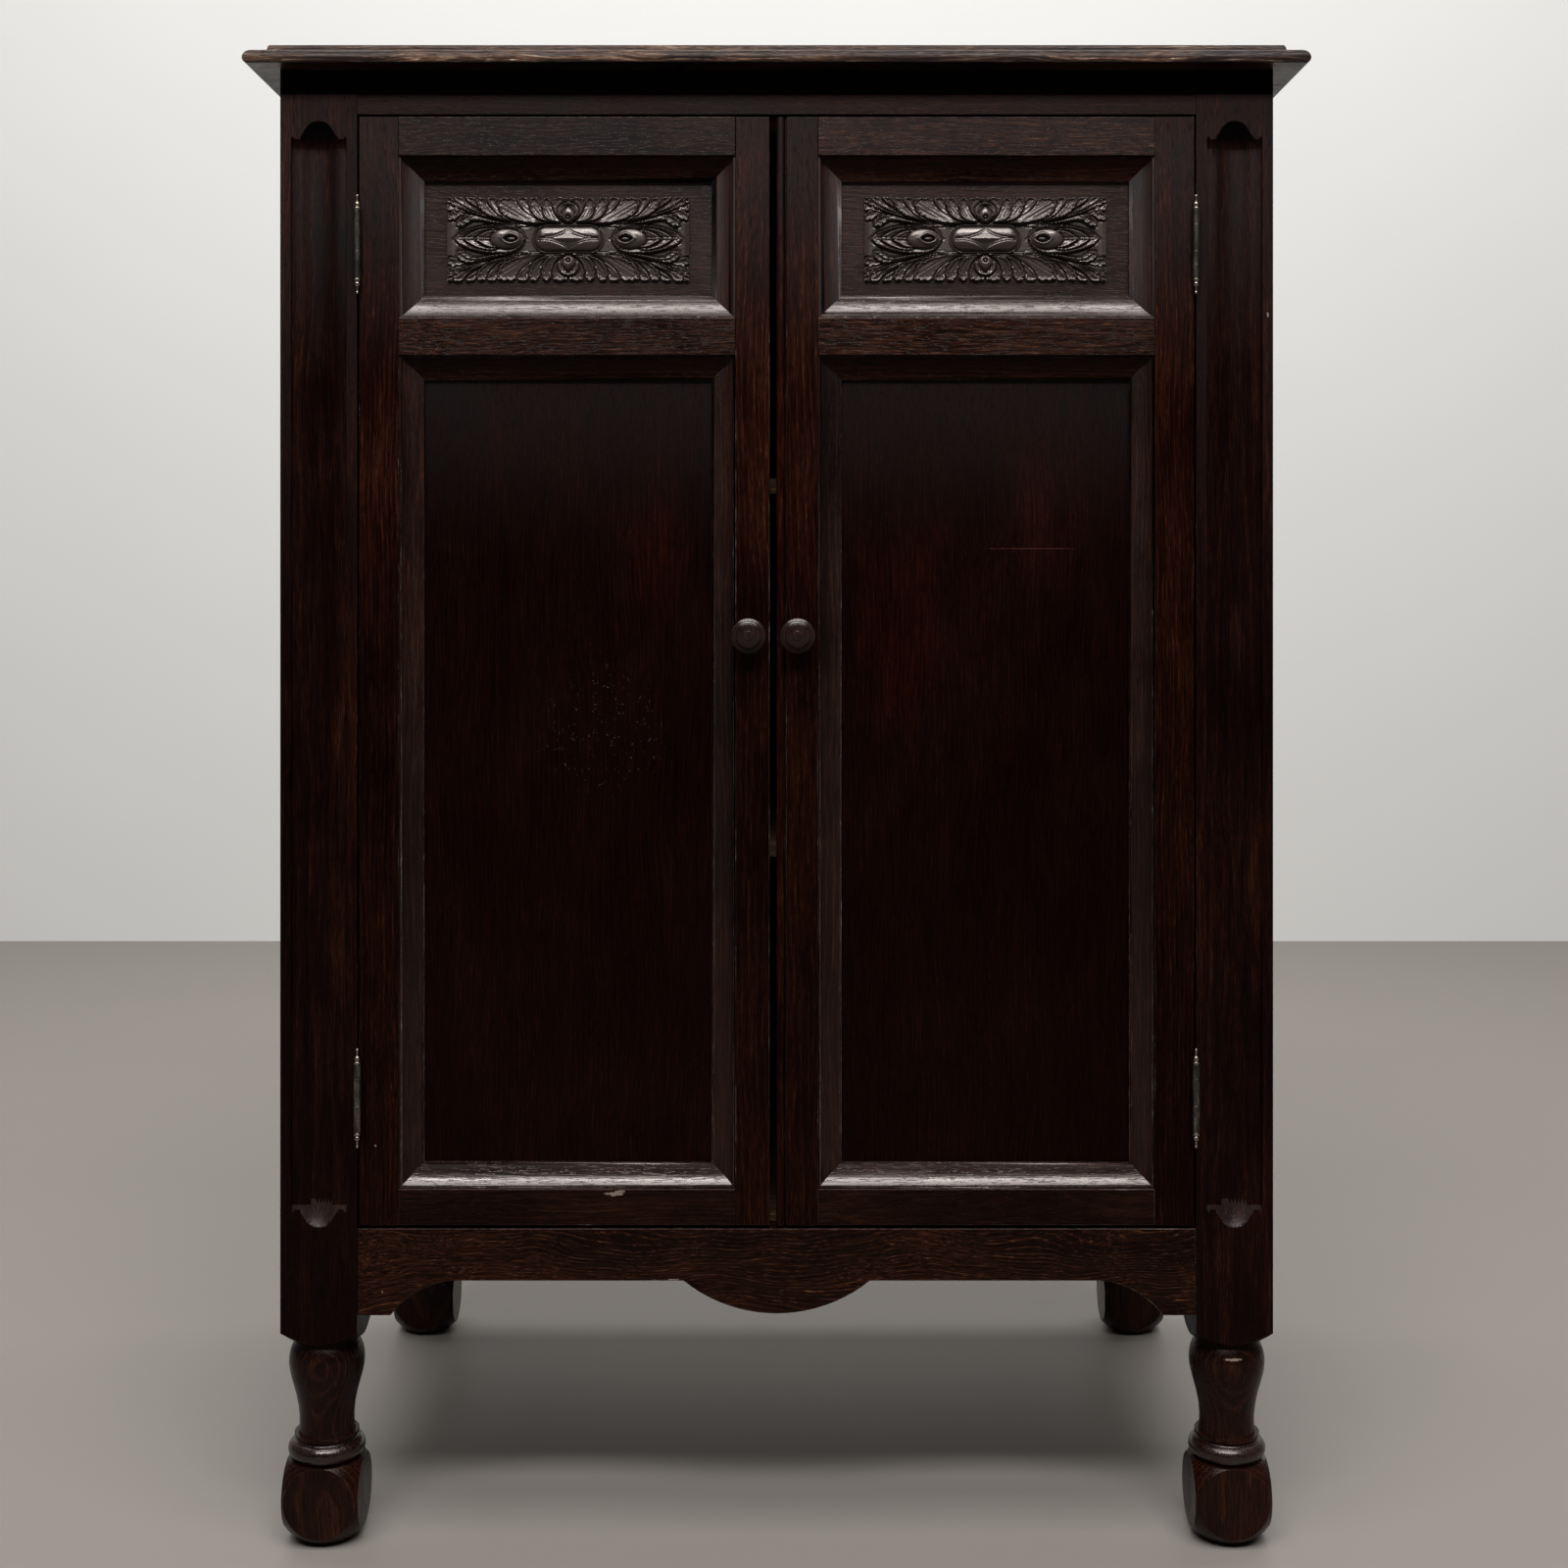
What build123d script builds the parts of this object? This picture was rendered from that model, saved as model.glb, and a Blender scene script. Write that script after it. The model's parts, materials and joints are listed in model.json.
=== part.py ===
from build123d import *
from math import sqrt
import os

# A two-door court cupboard in oak: four posts turned into legs below, rails tenoned
# between them, grooved-in panels, two framed doors on butt hinges and a moulded top.
# Millimetres. X runs left to right, the front faces -Y, Z is up, the floor is z = 0.

os.makedirs("parts", exist_ok=True)

# ---------------------------------------------------------------- case, overall
case_width = 750.0          # over the outer faces of the posts
case_depth = 500.0
case_height = 1119.0        # floor to the underside of the top
post_size = 58.0            # square section of each post
reveal = 0.8                # rails, apron and doors stand this far behind the post faces
cut_past = 1.0              # cuts run this far beyond the faces they open
rail_thickness = 20.0
top_rail_height = 33.5
bottom_rail_foot = 203.5    # underside of the side and rear bottom rails
bottom_rail_height = 60.0

# ---------------------------------------------------------------- top board
top_overhang = 23.0         # at the front and both sides; flush at the back
nosing_height = 10.8
field_height = 6.2          # raised field above the nosing
field_inset = 16.0          # from the tip of the nosing to the raised field
nosing_under_set = 2.6      # the underside starts this far behind the tip
nosing_tip_height = 3.4     # of the tip above the underside
nosing_round = 8.0          # width of the nosing's rounded front
field_quirk = 1.2           # small upright step at the foot of the field's ovolo
field_round = 2.4           # width of that ovolo

# ---------------------------------------------------------------- joinery
tenon_thickness = 8.0
tenon_length = 22.0
tenon_shoulder = 5.0        # shoulder above and below each tenon
panel_thickness = 6.0       # side and back panels
panel_groove = 8.0          # depth of the grooves that hold them
panel_play = 0.5            # between a panel's edge and the bottom of its groove

# ---------------------------------------------------------------- turned leg
# Each height is measured from the one before it, upwards from the floor.
foot_flat_radius = 19.3     # of the flat that stands on the floor
ball_height = 34.6          # centre of the ball that rounds the block foot
foot_shoulder = 26.7        # on to the top of the ball
foot_groove = 0.6
foot_groove_radius = 24.5
torus_rise = 6.6
torus_radius = 29.2
torus_shoulder = 6.9
torus_shoulder_radius = 25.2
cove_rise = 1.6
cove_radius = 23.2
cove_shoulder = 1.4
fillet_radius = 24.4
fillet_height = 2.4
neck_shoulder_radius = 21.5 # under the fillet
neck_rise = 8.2
neck_radius = 20.7
vase_lower_rise = 21.0
vase_lower_radius = 23.2
vase_rise = 28.0
vase_radius = 28.6
vase_shoulder = 13.0
vase_shoulder_radius = 24.0
pommel_step = 1.4
pommel_radius = 24.8        # where the pommel's rounding starts
pommel_face = 3.0           # on to where it meets the middle of a face
pommel_corner = 8.9         # and on to the corners of the square
blank_radius = 43.5         # of the round blank, just beyond those corners

# ---------------------------------------------------------------- stopped flute
flute_width = 42.0
flute_depth = 6.0
flute_step = 1.6            # upright step along each edge
shoulder_inset = 5.0        # from the edge to the crown of the convex shoulder
shoulder_depth = 0.9        # of that crown below the face
hollow_width = 23.0         # of the middle hollow
hollow_rim_depth = 2.1
cutter_radius = 35.0        # from the cutter's axis to the post's face
flute_low_end = 0.3         # lowest point of the flute, above the apron
flute_high_end = 38.2       # highest point, below the top of the post

# ---------------------------------------------------------------- front apron
apron_top = 243.2
apron_flat = 203.8          # height of the straight lower edge
bracket_foot = 177.6        # underside of the bracket ends
bracket_length = 25.0       # flat part beside each post
bracket_hollow_length = 46.5
bracket_hollow_x = 23.5     # a point on the hollow, from its start
bracket_hollow_z = 19.6
lobe_foot = 179.0           # lowest point of the middle lobe
lobe_half_width = 70.5

# ---------------------------------------------------------------- doors
door_thickness = 19.5
hinge_gap = 1.6             # between a door's edge and its post
meeting_gap = 5.0           # between the two doors
door_foot_gap = 2.5         # above the apron
door_head_gap = 1.9         # under the top rail
stile_width = 29.5
left_meeting_width = 26.0
right_meeting_width = 31.5
bottom_member = 27.4        # height of the bottom rail of a door
frieze_height = 28.2
upper_panel_sight = 122.7   # height between the frieze rail and the top rail
top_member = 29.2
door_groove = 8.0           # groove for the door's panels and stub tenons
door_panel_thickness = 5.0
door_panel_set = 12.0       # from the door's face to the panel's face
bead_width = 6.4            # bead along the right door's meeting edge
bead_quirk = 1.2
bead_depth = 3.2
bead_round = 2.9            # radius of its rounded corners

# ---------------------------------------------------------------- door mouldings
moulding_width = 18.0
moulding_height = 10.4      # above the panel, at the frame
moulding_fillet = 1.6       # flat beside the frame
moulding_quirk = 1.4        # drop from that flat to the hollow
moulding_lip = 2.4          # flat beside the panel
moulding_lip_height = 2.6
moulding_hollow_in = 7.9    # a point on the hollow, from the frame
moulding_hollow_height = 4.1

# ---------------------------------------------------------------- carved plaque
plaque_width = 183.5
plaque_height = 64.0
plaque_ground = 2.4         # thickness of the carved ground
leaf_lobes = 13             # scallops along each long edge
lobe_rise = 1.4
lobe_overlap = 0.54         # half width of a scallop as a share of the pitch
boss_length = 52.0
boss_height = 17.0
boss_rise = 5.6
bud_length = 25.0
bud_height = 13.0
bud_rise = 4.6
bud_offset = 49.0
rosette_radius = 5.6
rosette_rise = 4.2
rosette_offset = 22.0
crown_share = 0.55          # size of each carved swelling's flat crown

# ---------------------------------------------------------------- knobs
knob_radius = 13.4
knob_reach = 21.0           # from the door's face to the tip
knob_foot_radius = 7.6
knob_neck_radius = 6.2
knob_edge = 2.6             # thickness of the disc, which has a half-round edge
knob_neck_at = 4.0          # from the door's face to the narrowest part
knob_disc_at = 9.0          # from the face to the back of the disc
knob_dome_step = 0.8        # from the disc's face to the foot of the dome
knob_dome_radius = 9.5
knob_dome_side = 7.4        # a point on the dome: radius and height above its foot
knob_dome_rise = 4.6
knob_nib_radius = 1.5
knob_spigot_radius = 4.0
knob_spigot_length = 11.0
knob_inset = 16.0           # from the door's meeting edge
knob_drop = 212.0           # below the frieze rail
bore_play = 0.05            # round pins, spigots and screws

# ---------------------------------------------------------------- butt hinges
leaf_height = 51.0
leaf_depth = 16.0
leaf_thickness = 1.6
leaf_gap = 0.4              # between the closed leaves
knuckle_radius = 3.0
knuckle_count = 5
knuckle_play = 0.2          # between knuckles, along the pin
pin_radius = 1.5
pin_play = 0.05
pin_proud = 3.9             # axis in front of the doors' faces
finial_length = 12.2
finial_ring_radius = 2.8
finial_ring = 2.6           # height of the ring under each ball
finial_ring_round = 1.0     # radius of the ring's rounded edges
finial_ball_at = 4.5        # from the leaf's end to the middle of the ball
finial_ball_radius = 2.4
finial_nib_radius = 1.3
finial_neck_radius = 0.9
hinge_inset = 97.0          # middle of each hinge, from the end of the door
screw_shank_radius = 1.4
screw_length = 13.0
screw_head_radius = 2.7
screw_head_depth = 1.3
screw_point = 2.8           # length of the pointed end
near_screws = 5.8           # from the door's face, the two outer screws of a leaf
far_screw = 10.6            # and the middle one
screw_spread = 19.4         # of the outer screws above and below the middle one

# ---------------------------------------------------------------- ball catches
catch_inset = 62.0          # from a door's meeting edge
catch_radius = 4.5
catch_length = 14.0
catch_flange_radius = 6.4
catch_flange = 1.0
catch_ball_radius = 3.2
catch_clearance = 0.4       # between the ball and the top rail
catch_play = 0.1
catch_floor = 1.2
strike_length = 22.0
strike_width = 14.0
strike_thickness = 1.0
strike_hole_radius = 3.0
strike_hole_depth = 4.0

# ---------------------------------------------------------------- inside
board_thickness = 12.0      # bottom board and shelves
board_rise = 4.8            # the bottom board stands this far above the apron
board_play = 0.3            # at the ends and sides of boards
shelf_set = 33.0            # from the post face to a shelf's front edge
lower_shelf_height = 520.0  # underside
upper_shelf_height = 800.0
bearer = 18.0               # square section of bearers and cleats
stop_height = 22.0
stop_thickness = 12.0
stop_overlap = 8.5          # of the stop strip below the top rail
button_length = 32.0
button_width = 24.0
button_tongue = 6.0
button_tongue_height = 5.0
button_drop = 8.0           # from the underside of the top to the tongue
button_height = 15.0
button_screw_length = 24.0
button_screw_set = 17.6     # from the rail's face to the screw
button_inset = 76.8         # of the side buttons from the posts

# ---------------------------------------------------------------- worked out
overall_depth = case_depth + top_overhang
front = -overall_depth / 2 + top_overhang       # plane of the post faces
back = overall_depth / 2
half_width = case_width / 2
opening = case_width - 2 * post_size
half_opening = opening / 2
top_rail_foot = case_height - top_rail_height
top_top = case_height + nosing_height + field_height
rail_face = front + reveal
rail_back = rail_face + rail_thickness
rear_face = back - reveal - rail_thickness      # inner faces of the rear rails
side_face = half_width - reveal - rail_thickness
side_plane = side_face + rail_thickness / 2     # middle of the side panels
back_plane = rear_face + rail_thickness / 2
bottom_rail_top = bottom_rail_foot + bottom_rail_height
front_inner = front + post_size                 # inner faces of the front posts
rear_inner = back - post_size
post_x = half_width - post_size / 2

door_bottom = apron_top + door_foot_gap
door_top = top_rail_foot - door_head_gap
door_edge = half_opening - hinge_gap            # hinge edge of a door
sight_edge = door_edge - stile_width            # where the stile's moulding starts
frame_members = 2 * stile_width + left_meeting_width + right_meeting_width
sight_width = (2 * door_edge - meeting_gap - frame_members) / 2
frieze_foot = door_top - top_member - upper_panel_sight - frieze_height
knob_height = frieze_foot - knob_drop
hinge_middles = (door_bottom + hinge_inset, door_top - hinge_inset)
flute_foot = apron_top + flute_low_end
flute_head = case_height - flute_high_end
lower_sight = (door_bottom + bottom_member, frieze_foot)
upper_sight = (frieze_foot + frieze_height, door_top - top_member)
door_back = rail_face + door_thickness
door_panel_face = rail_face + door_panel_set

hinge_x = half_opening - hinge_gap / 2
hinge_y = rail_face - pin_proud
leaf_cut = (2 * leaf_thickness + leaf_gap - hinge_gap) / 2
board_top = apron_top + board_rise
catch_y = rail_face + door_thickness / 2
stop_foot = top_rail_foot - stop_overlap


def save(shape, label):
    """Names a finished piece and writes its STEP file."""
    shape.label = label
    export_step(shape, f"parts/{label}.step")


def block(x, y, z, mode=Mode.ADD):
    """A box between two corners, given as (low, high) pairs in any order."""
    middle = ((x[0] + x[1]) / 2, (y[0] + y[1]) / 2, (z[0] + z[1]) / 2)
    with Locations(middle):
        Box(abs(x[1] - x[0]), abs(y[1] - y[0]), abs(z[1] - z[0]), mode=mode)


def about(middle, size):
    """The (low, high) pair of a stretch of this size about its middle."""
    return (middle - size / 2, middle + size / 2)


def leg_profile(plane):
    """Half section of the turned leg, pommel and foot, on the XZ plane."""
    ball_radius = sqrt(foot_flat_radius**2 + ball_height**2)
    ball_top = (sqrt(ball_radius**2 - foot_shoulder**2), ball_height + foot_shoulder)
    groove = (foot_groove_radius, ball_top[1] + foot_groove)
    torus = (torus_radius, groove[1] + torus_rise)
    torus_end = (torus_shoulder_radius, torus[1] + torus_shoulder)
    cove = (cove_radius, torus_end[1] + cove_rise)
    fillet_foot = (fillet_radius, cove[1] + cove_shoulder)
    fillet_end = fillet_foot[1] + fillet_height
    neck = (neck_radius, fillet_end + neck_rise)
    vase_low = (vase_lower_radius, neck[1] + vase_lower_rise)
    vase = (vase_radius, vase_low[1] + vase_rise)
    vase_end = (vase_shoulder_radius, vase[1] + vase_shoulder)
    pommel = (pommel_radius, vase_end[1] + pommel_step)
    pommel_side = (post_size / 2, pommel[1] + pommel_face)
    pommel_end = (post_size / sqrt(2), pommel_side[1] + pommel_corner)
    with BuildSketch(plane) as profile:
        with BuildLine():
            Line((0, 0), (foot_flat_radius, 0))
            ThreePointArc((foot_flat_radius, 0), (ball_radius, ball_height), ball_top)
            Line(ball_top, groove)
            ThreePointArc(groove, torus, torus_end)
            ThreePointArc(torus_end, cove, fillet_foot)
            Polyline(
                fillet_foot,
                (fillet_radius, fillet_end),
                (neck_shoulder_radius, fillet_end),
            )
            Spline((neck_shoulder_radius, fillet_end), neck, vase_low, vase, vase_end)
            Line(vase_end, pommel)
            ThreePointArc(pommel, pommel_side, pommel_end)
            Polyline(
                pommel_end,
                (blank_radius, pommel_end[1]),
                (blank_radius, case_height),
                (0, case_height),
                (0, 0),
            )
        make_face()
    return profile.sketch


def flute_profile(middle, height):
    """Section of the flute as a horizontal face round the post's middle line."""
    edge = flute_width / 2
    rim = hollow_width / 2
    crown = edge - shoulder_inset
    with BuildSketch(Plane.XY.offset(height)) as profile:
        with BuildLine():
            Line((middle - edge, front - cut_past), (middle - edge, front + flute_step))
            ThreePointArc(
                (middle - edge, front + flute_step),
                (middle - crown, front + shoulder_depth),
                (middle - rim, front + hollow_rim_depth),
            )
            ThreePointArc(
                (middle - rim, front + hollow_rim_depth),
                (middle, front + flute_depth),
                (middle + rim, front + hollow_rim_depth),
            )
            ThreePointArc(
                (middle + rim, front + hollow_rim_depth),
                (middle + crown, front + shoulder_depth),
                (middle + edge, front + flute_step),
            )
            Polyline(
                (middle + edge, front + flute_step),
                (middle + edge, front - cut_past),
                (middle - edge, front - cut_past),
            )
        make_face()
    return profile.sketch


def top_tenon_z():
    """Height range of the tenons on the top rails, above the panel groove."""
    return (top_rail_foot + panel_groove, case_height - tenon_shoulder)


def bottom_tenon_z():
    """Height range of the tenons on the side and rear bottom rails."""
    return (bottom_rail_foot + tenon_shoulder, bottom_rail_top - panel_groove)


def apron_tenon_z():
    """Height range of the tenons on the front apron."""
    return (bracket_foot + tenon_shoulder, apron_top - tenon_shoulder)


# The wheel-shaped cutter leaves the flute's ends as arcs of its own rim.
cut_reach = sqrt((cutter_radius + flute_depth) ** 2 - cutter_radius**2)
cutter_axis_low = flute_foot + cut_reach
cutter_axis_high = flute_head - cut_reach
cutter_y = front - cutter_radius

screw_rows = [
    (rail_face + near_screws, -screw_spread),
    (rail_face + far_screw, 0.0),
    (rail_face + near_screws, screw_spread),
]

screw_places = {}
for side in (-1, 1):
    case_x = side * (half_opening + leaf_cut - leaf_thickness)
    door_x = side * (door_edge - leaf_cut + leaf_thickness)
    for middle in hinge_middles:
        for screw_y, offset in screw_rows:
            place = (screw_y, middle + offset)
            screw_places.setdefault(("case", side), []).append((case_x, *place))
            screw_places.setdefault(("door", side), []).append((door_x, *place))


def drill_screws(places, direction, radius):
    """Pilot holes or clearance holes for wood screws that run along X."""
    for x, y, z in places:
        end = x + direction * (screw_length + bore_play)
        with Locations(Location(((x + end) / 2, y, z), (0, 90, 0))):
            Cylinder(radius, abs(end - x), mode=Mode.SUBTRACT)


# ================================================================ posts
def make_post(side, end):
    """One corner post. side is -1 left, 1 right; end is -1 front, 1 rear."""
    post_y = front + post_size / 2 if end < 0 else back - post_size / 2
    middle_x = side * post_x
    inner_x = side * half_opening
    inner_y = front_inner if end < 0 else rear_inner
    rail_y = rail_face + rail_thickness / 2 if end < 0 else back_plane
    panel_x = side * side_plane
    with BuildPart() as post:
        revolve(
            leg_profile(Plane((middle_x, post_y, 0), (1, 0, 0), (0, -1, 0))),
            axis=Axis((middle_x, post_y, 0), (0, 0, 1)),
            revolution_arc=360,
        )
        with BuildSketch(Plane.XY):
            with Locations((middle_x, post_y)):
                Rectangle(post_size, post_size)
        extrude(amount=case_height, mode=Mode.INTERSECT)
        # mortises for the rails, then the grooves for the panels between them
        low_tenon = apron_tenon_z() if end < 0 else bottom_tenon_z()
        for heights in (top_tenon_z(), low_tenon):
            block(
                (inner_x, inner_x + side * tenon_length),
                about(rail_y, tenon_thickness),
                heights,
                mode=Mode.SUBTRACT,
            )
        for heights in (top_tenon_z(), bottom_tenon_z()):
            block(
                about(panel_x, tenon_thickness),
                (inner_y, inner_y + end * tenon_length),
                heights,
                mode=Mode.SUBTRACT,
            )
        block(
            about(panel_x, panel_thickness),
            (inner_y, inner_y + end * panel_groove),
            (bottom_rail_top - panel_groove, top_rail_foot + panel_groove),
            mode=Mode.SUBTRACT,
        )
        if end > 0:
            block(
                (inner_x, inner_x + side * panel_groove),
                about(back_plane, panel_thickness),
                (bottom_rail_top - panel_groove, top_rail_foot + panel_groove),
                mode=Mode.SUBTRACT,
            )
        else:
            extrude(
                flute_profile(middle_x, cutter_axis_low),
                amount=cutter_axis_high - cutter_axis_low,
                mode=Mode.SUBTRACT,
            )
            for axis_z in (cutter_axis_low, cutter_axis_high):
                revolve(
                    flute_profile(middle_x, axis_z),
                    axis=Axis((0, cutter_y, axis_z), (1, 0, 0)),
                    revolution_arc=360,
                    mode=Mode.SUBTRACT,
                )
            # gains for the hinge leaves and pilot holes for their screws
            for middle in hinge_middles:
                block(
                    (inner_x, inner_x + side * leaf_cut),
                    (front - cut_past, rail_face + leaf_depth),
                    about(middle, leaf_height),
                    mode=Mode.SUBTRACT,
                )
            drill_screws(screw_places["case", side], side, screw_shank_radius + bore_play)
    return post.part


for end, end_name in ((-1, "front"), (1, "rear")):
    for side, side_name in ((-1, "left"), (1, "right")):
        save(make_post(side, end), f"{end_name}_{side_name}_post")


# ================================================================ rails
def cut_button_slot(along_x, face, toward, span):
    """Slot along a top rail's inner face, for the tongues of the buttons."""
    depth = (face, face + toward * (button_tongue + panel_play))
    heights = (
        case_height - button_drop - button_tongue_height,
        case_height - button_drop,
    )
    if along_x:
        block(span, depth, heights, mode=Mode.SUBTRACT)
    else:
        block(depth, span, heights, mode=Mode.SUBTRACT)


with BuildPart() as front_top_rail:
    block(
        (-half_opening, half_opening),
        (rail_face, rail_back),
        (top_rail_foot, case_height),
    )
    block(
        (-half_opening - tenon_length, half_opening + tenon_length),
        about(rail_face + rail_thickness / 2, tenon_thickness),
        top_tenon_z(),
    )
    cut_button_slot(True, rail_back, -1, about(0, 3 * button_width))
    strike_x = []
    for side, meeting in ((-1, left_meeting_width), (1, right_meeting_width)):
        door_meeting = side * (sight_edge - sight_width - meeting)
        strike_x.append(door_meeting + side * catch_inset)
        block(
            about(strike_x[-1], strike_length),
            about(catch_y, strike_width),
            (top_rail_foot, top_rail_foot + strike_thickness),
            mode=Mode.SUBTRACT,
        )
        with Locations((strike_x[-1], catch_y, top_rail_foot)):
            Cylinder(
                strike_hole_radius,
                strike_hole_depth,
                align=(Align.CENTER, Align.CENTER, Align.MIN),
                mode=Mode.SUBTRACT,
            )
save(front_top_rail.part, "front_top_rail")

with BuildPart() as strike_plates:
    for x in strike_x:
        block(
            about(x, strike_length),
            about(catch_y, strike_width),
            (top_rail_foot, top_rail_foot + strike_thickness),
        )
        with Locations((x, catch_y, top_rail_foot)):
            Cylinder(strike_hole_radius, 3 * strike_thickness, mode=Mode.SUBTRACT)
save(strike_plates.part, "strike_plates")

# Front apron: bracket ends with hollow curves, a straight edge and a middle lobe.
with BuildPart() as front_apron:
    bracket_end = half_opening - bracket_length
    hollow_end = bracket_end - bracket_hollow_length
    hollow_middle = bracket_end - bracket_hollow_x
    with BuildSketch(Plane.XZ.offset(-rail_face)):
        with BuildLine():
            Polyline(
                (-bracket_end, bracket_foot),
                (-half_opening, bracket_foot),
                (-half_opening, apron_top),
                (half_opening, apron_top),
                (half_opening, bracket_foot),
                (bracket_end, bracket_foot),
            )
            ThreePointArc(
                (bracket_end, bracket_foot),
                (hollow_middle, bracket_foot + bracket_hollow_z),
                (hollow_end, apron_flat),
            )
            Line((hollow_end, apron_flat), (lobe_half_width, apron_flat))
            ThreePointArc(
                (lobe_half_width, apron_flat), (0, lobe_foot), (-lobe_half_width, apron_flat)
            )
            Line((-lobe_half_width, apron_flat), (-hollow_end, apron_flat))
            ThreePointArc(
                (-hollow_end, apron_flat),
                (-hollow_middle, bracket_foot + bracket_hollow_z),
                (-bracket_end, bracket_foot),
            )
        make_face()
    extrude(amount=-rail_thickness)
    for side in (-1, 1):
        block(
            (side * half_opening, side * (half_opening + tenon_length)),
            about(rail_face + rail_thickness / 2, tenon_thickness),
            apron_tenon_z(),
        )
save(front_apron.part, "front_apron")


def panel_slot_z(rail_z, above):
    """Height range of the panel groove in a rail: in its top or bottom edge."""
    if above:
        return (rail_z[1] - panel_groove, rail_z[1])
    return (rail_z[0], rail_z[0] + panel_groove)


top_rail_z = (top_rail_foot, case_height)
bottom_rail_z = (bottom_rail_foot, bottom_rail_top)

for side, side_name in ((-1, "left"), (1, "right")):
    for rail_z, tenon_z, name, above in (
        (top_rail_z, top_tenon_z(), "top", False),
        (bottom_rail_z, bottom_tenon_z(), "bottom", True),
    ):
        with BuildPart() as side_rail:
            block(
                about(side * side_plane, rail_thickness),
                (front_inner, rear_inner),
                rail_z,
            )
            block(
                about(side * side_plane, tenon_thickness),
                (front_inner - tenon_length, rear_inner + tenon_length),
                tenon_z,
            )
            block(
                about(side * side_plane, panel_thickness),
                (front_inner, rear_inner),
                panel_slot_z(rail_z, above),
                mode=Mode.SUBTRACT,
            )
            if not above:
                cut_button_slot(False, side * side_face, side, (front_inner, rear_inner))
        save(side_rail.part, f"{side_name}_{name}_rail")

for rail_z, tenon_z, name, above in (
    (top_rail_z, top_tenon_z(), "top", False),
    (bottom_rail_z, bottom_tenon_z(), "bottom", True),
):
    with BuildPart() as rear_rail:
        block(
            (-half_opening, half_opening),
            about(back_plane, rail_thickness),
            rail_z,
        )
        block(
            (-half_opening - tenon_length, half_opening + tenon_length),
            about(back_plane, tenon_thickness),
            tenon_z,
        )
        block(
            (-half_opening, half_opening),
            about(back_plane, panel_thickness),
            panel_slot_z(rail_z, above),
            mode=Mode.SUBTRACT,
        )
        if not above:
            cut_button_slot(True, rear_face, 1, about(0, 3 * button_width))
    save(rear_rail.part, f"rear_{name}_rail")

# ================================================================ case panels
panel_grip = panel_groove - panel_play
panel_z = (bottom_rail_top - panel_grip, top_rail_foot + panel_grip)
for side, side_name in ((-1, "left"), (1, "right")):
    with BuildPart() as side_panel:
        block(
            about(side * side_plane, panel_thickness),
            (front_inner - panel_grip, rear_inner + panel_grip),
            panel_z,
        )
    save(side_panel.part, f"{side_name}_side_panel")

with BuildPart() as back_panel:
    block(
        (-half_opening - panel_grip, half_opening + panel_grip),
        about(back_plane, panel_thickness),
        panel_z,
    )
save(back_panel.part, "back_panel")


# ================================================================ boards inside
def notched_board(front_edge, side_reach, back_edge, foot):
    """A board fitted round the four posts, reaching the sides between them."""
    block(
        (-half_opening + board_play, half_opening - board_play),
        (front_edge, back_edge),
        (foot, foot + board_thickness),
    )
    block(
        (-side_reach, side_reach),
        (front_inner + board_play, rear_inner - board_play),
        (foot, foot + board_thickness),
    )


with BuildPart() as bottom_board:
    notched_board(
        rail_back, side_face - board_play, rear_face - board_play,
        board_top - board_thickness,
    )
save(bottom_board.part, "bottom_board")

panel_inside = side_plane - panel_thickness / 2
back_inside = back_plane - panel_thickness / 2
for foot, name in ((lower_shelf_height, "lower_shelf"), (upper_shelf_height, "upper_shelf")):
    with BuildPart() as shelf:
        notched_board(
            front + shelf_set, panel_inside - board_play, back_inside - board_play, foot
        )
    save(shelf.part, name)

with BuildPart() as bottom_bearers:
    bearer_z = (board_top - board_thickness - bearer, board_top - board_thickness)
    block((-half_opening, half_opening), (rail_back, rail_back + bearer), bearer_z)
    block((-half_opening, half_opening), (rear_face - bearer, rear_face), bearer_z)
    for side in (-1, 1):
        block(
            (side * side_face, side * (side_face - bearer)),
            (front_inner, rear_inner),
            bearer_z,
        )
save(bottom_bearers.part, "bottom_bearers")

with BuildPart() as shelf_cleats:
    for foot in (lower_shelf_height, upper_shelf_height):
        for side in (-1, 1):
            block(
                (side * panel_inside, side * (panel_inside - bearer)),
                (front_inner, rear_inner),
                (foot - bearer, foot),
            )
save(shelf_cleats.part, "shelf_cleats")

with BuildPart() as door_stop:
    block(
        (-half_opening, half_opening),
        (rail_back, rail_back + stop_thickness),
        (stop_foot, stop_foot + stop_height),
    )
save(door_stop.part, "door_stop")


# ================================================================ top board
def edge_profile(plane, reach, back_reach):
    """Section of the top: undercut thumbnail nosing, ovolo and raised field."""
    tip = case_height + nosing_tip_height
    nosing_top = case_height + nosing_height
    field = reach - field_inset
    field_edge = field + field_quirk
    with BuildSketch(plane) as profile:
        with BuildLine():
            Line((0, case_height), (reach - nosing_under_set, case_height))
            EllipticalCenterArc(
                (reach - nosing_under_set, tip),
                nosing_under_set,
                tip - case_height,
                start_angle=-90,
                arc_size=90,
            )
            EllipticalCenterArc(
                (reach - nosing_round, tip),
                nosing_round,
                nosing_top - tip,
                start_angle=0,
                arc_size=90,
            )
            Polyline(
                (reach - nosing_round, nosing_top),
                (field_edge, nosing_top),
                (field_edge, nosing_top + field_quirk),
            )
            EllipticalCenterArc(
                (field_edge - field_round, nosing_top + field_quirk),
                field_round,
                top_top - nosing_top - field_quirk,
                start_angle=0,
                arc_size=90,
            )
            Polyline(
                (field_edge - field_round, top_top),
                (-back_reach, top_top),
                (-back_reach, case_height),
                (0, case_height),
            )
        make_face()
    return profile.sketch


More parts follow.
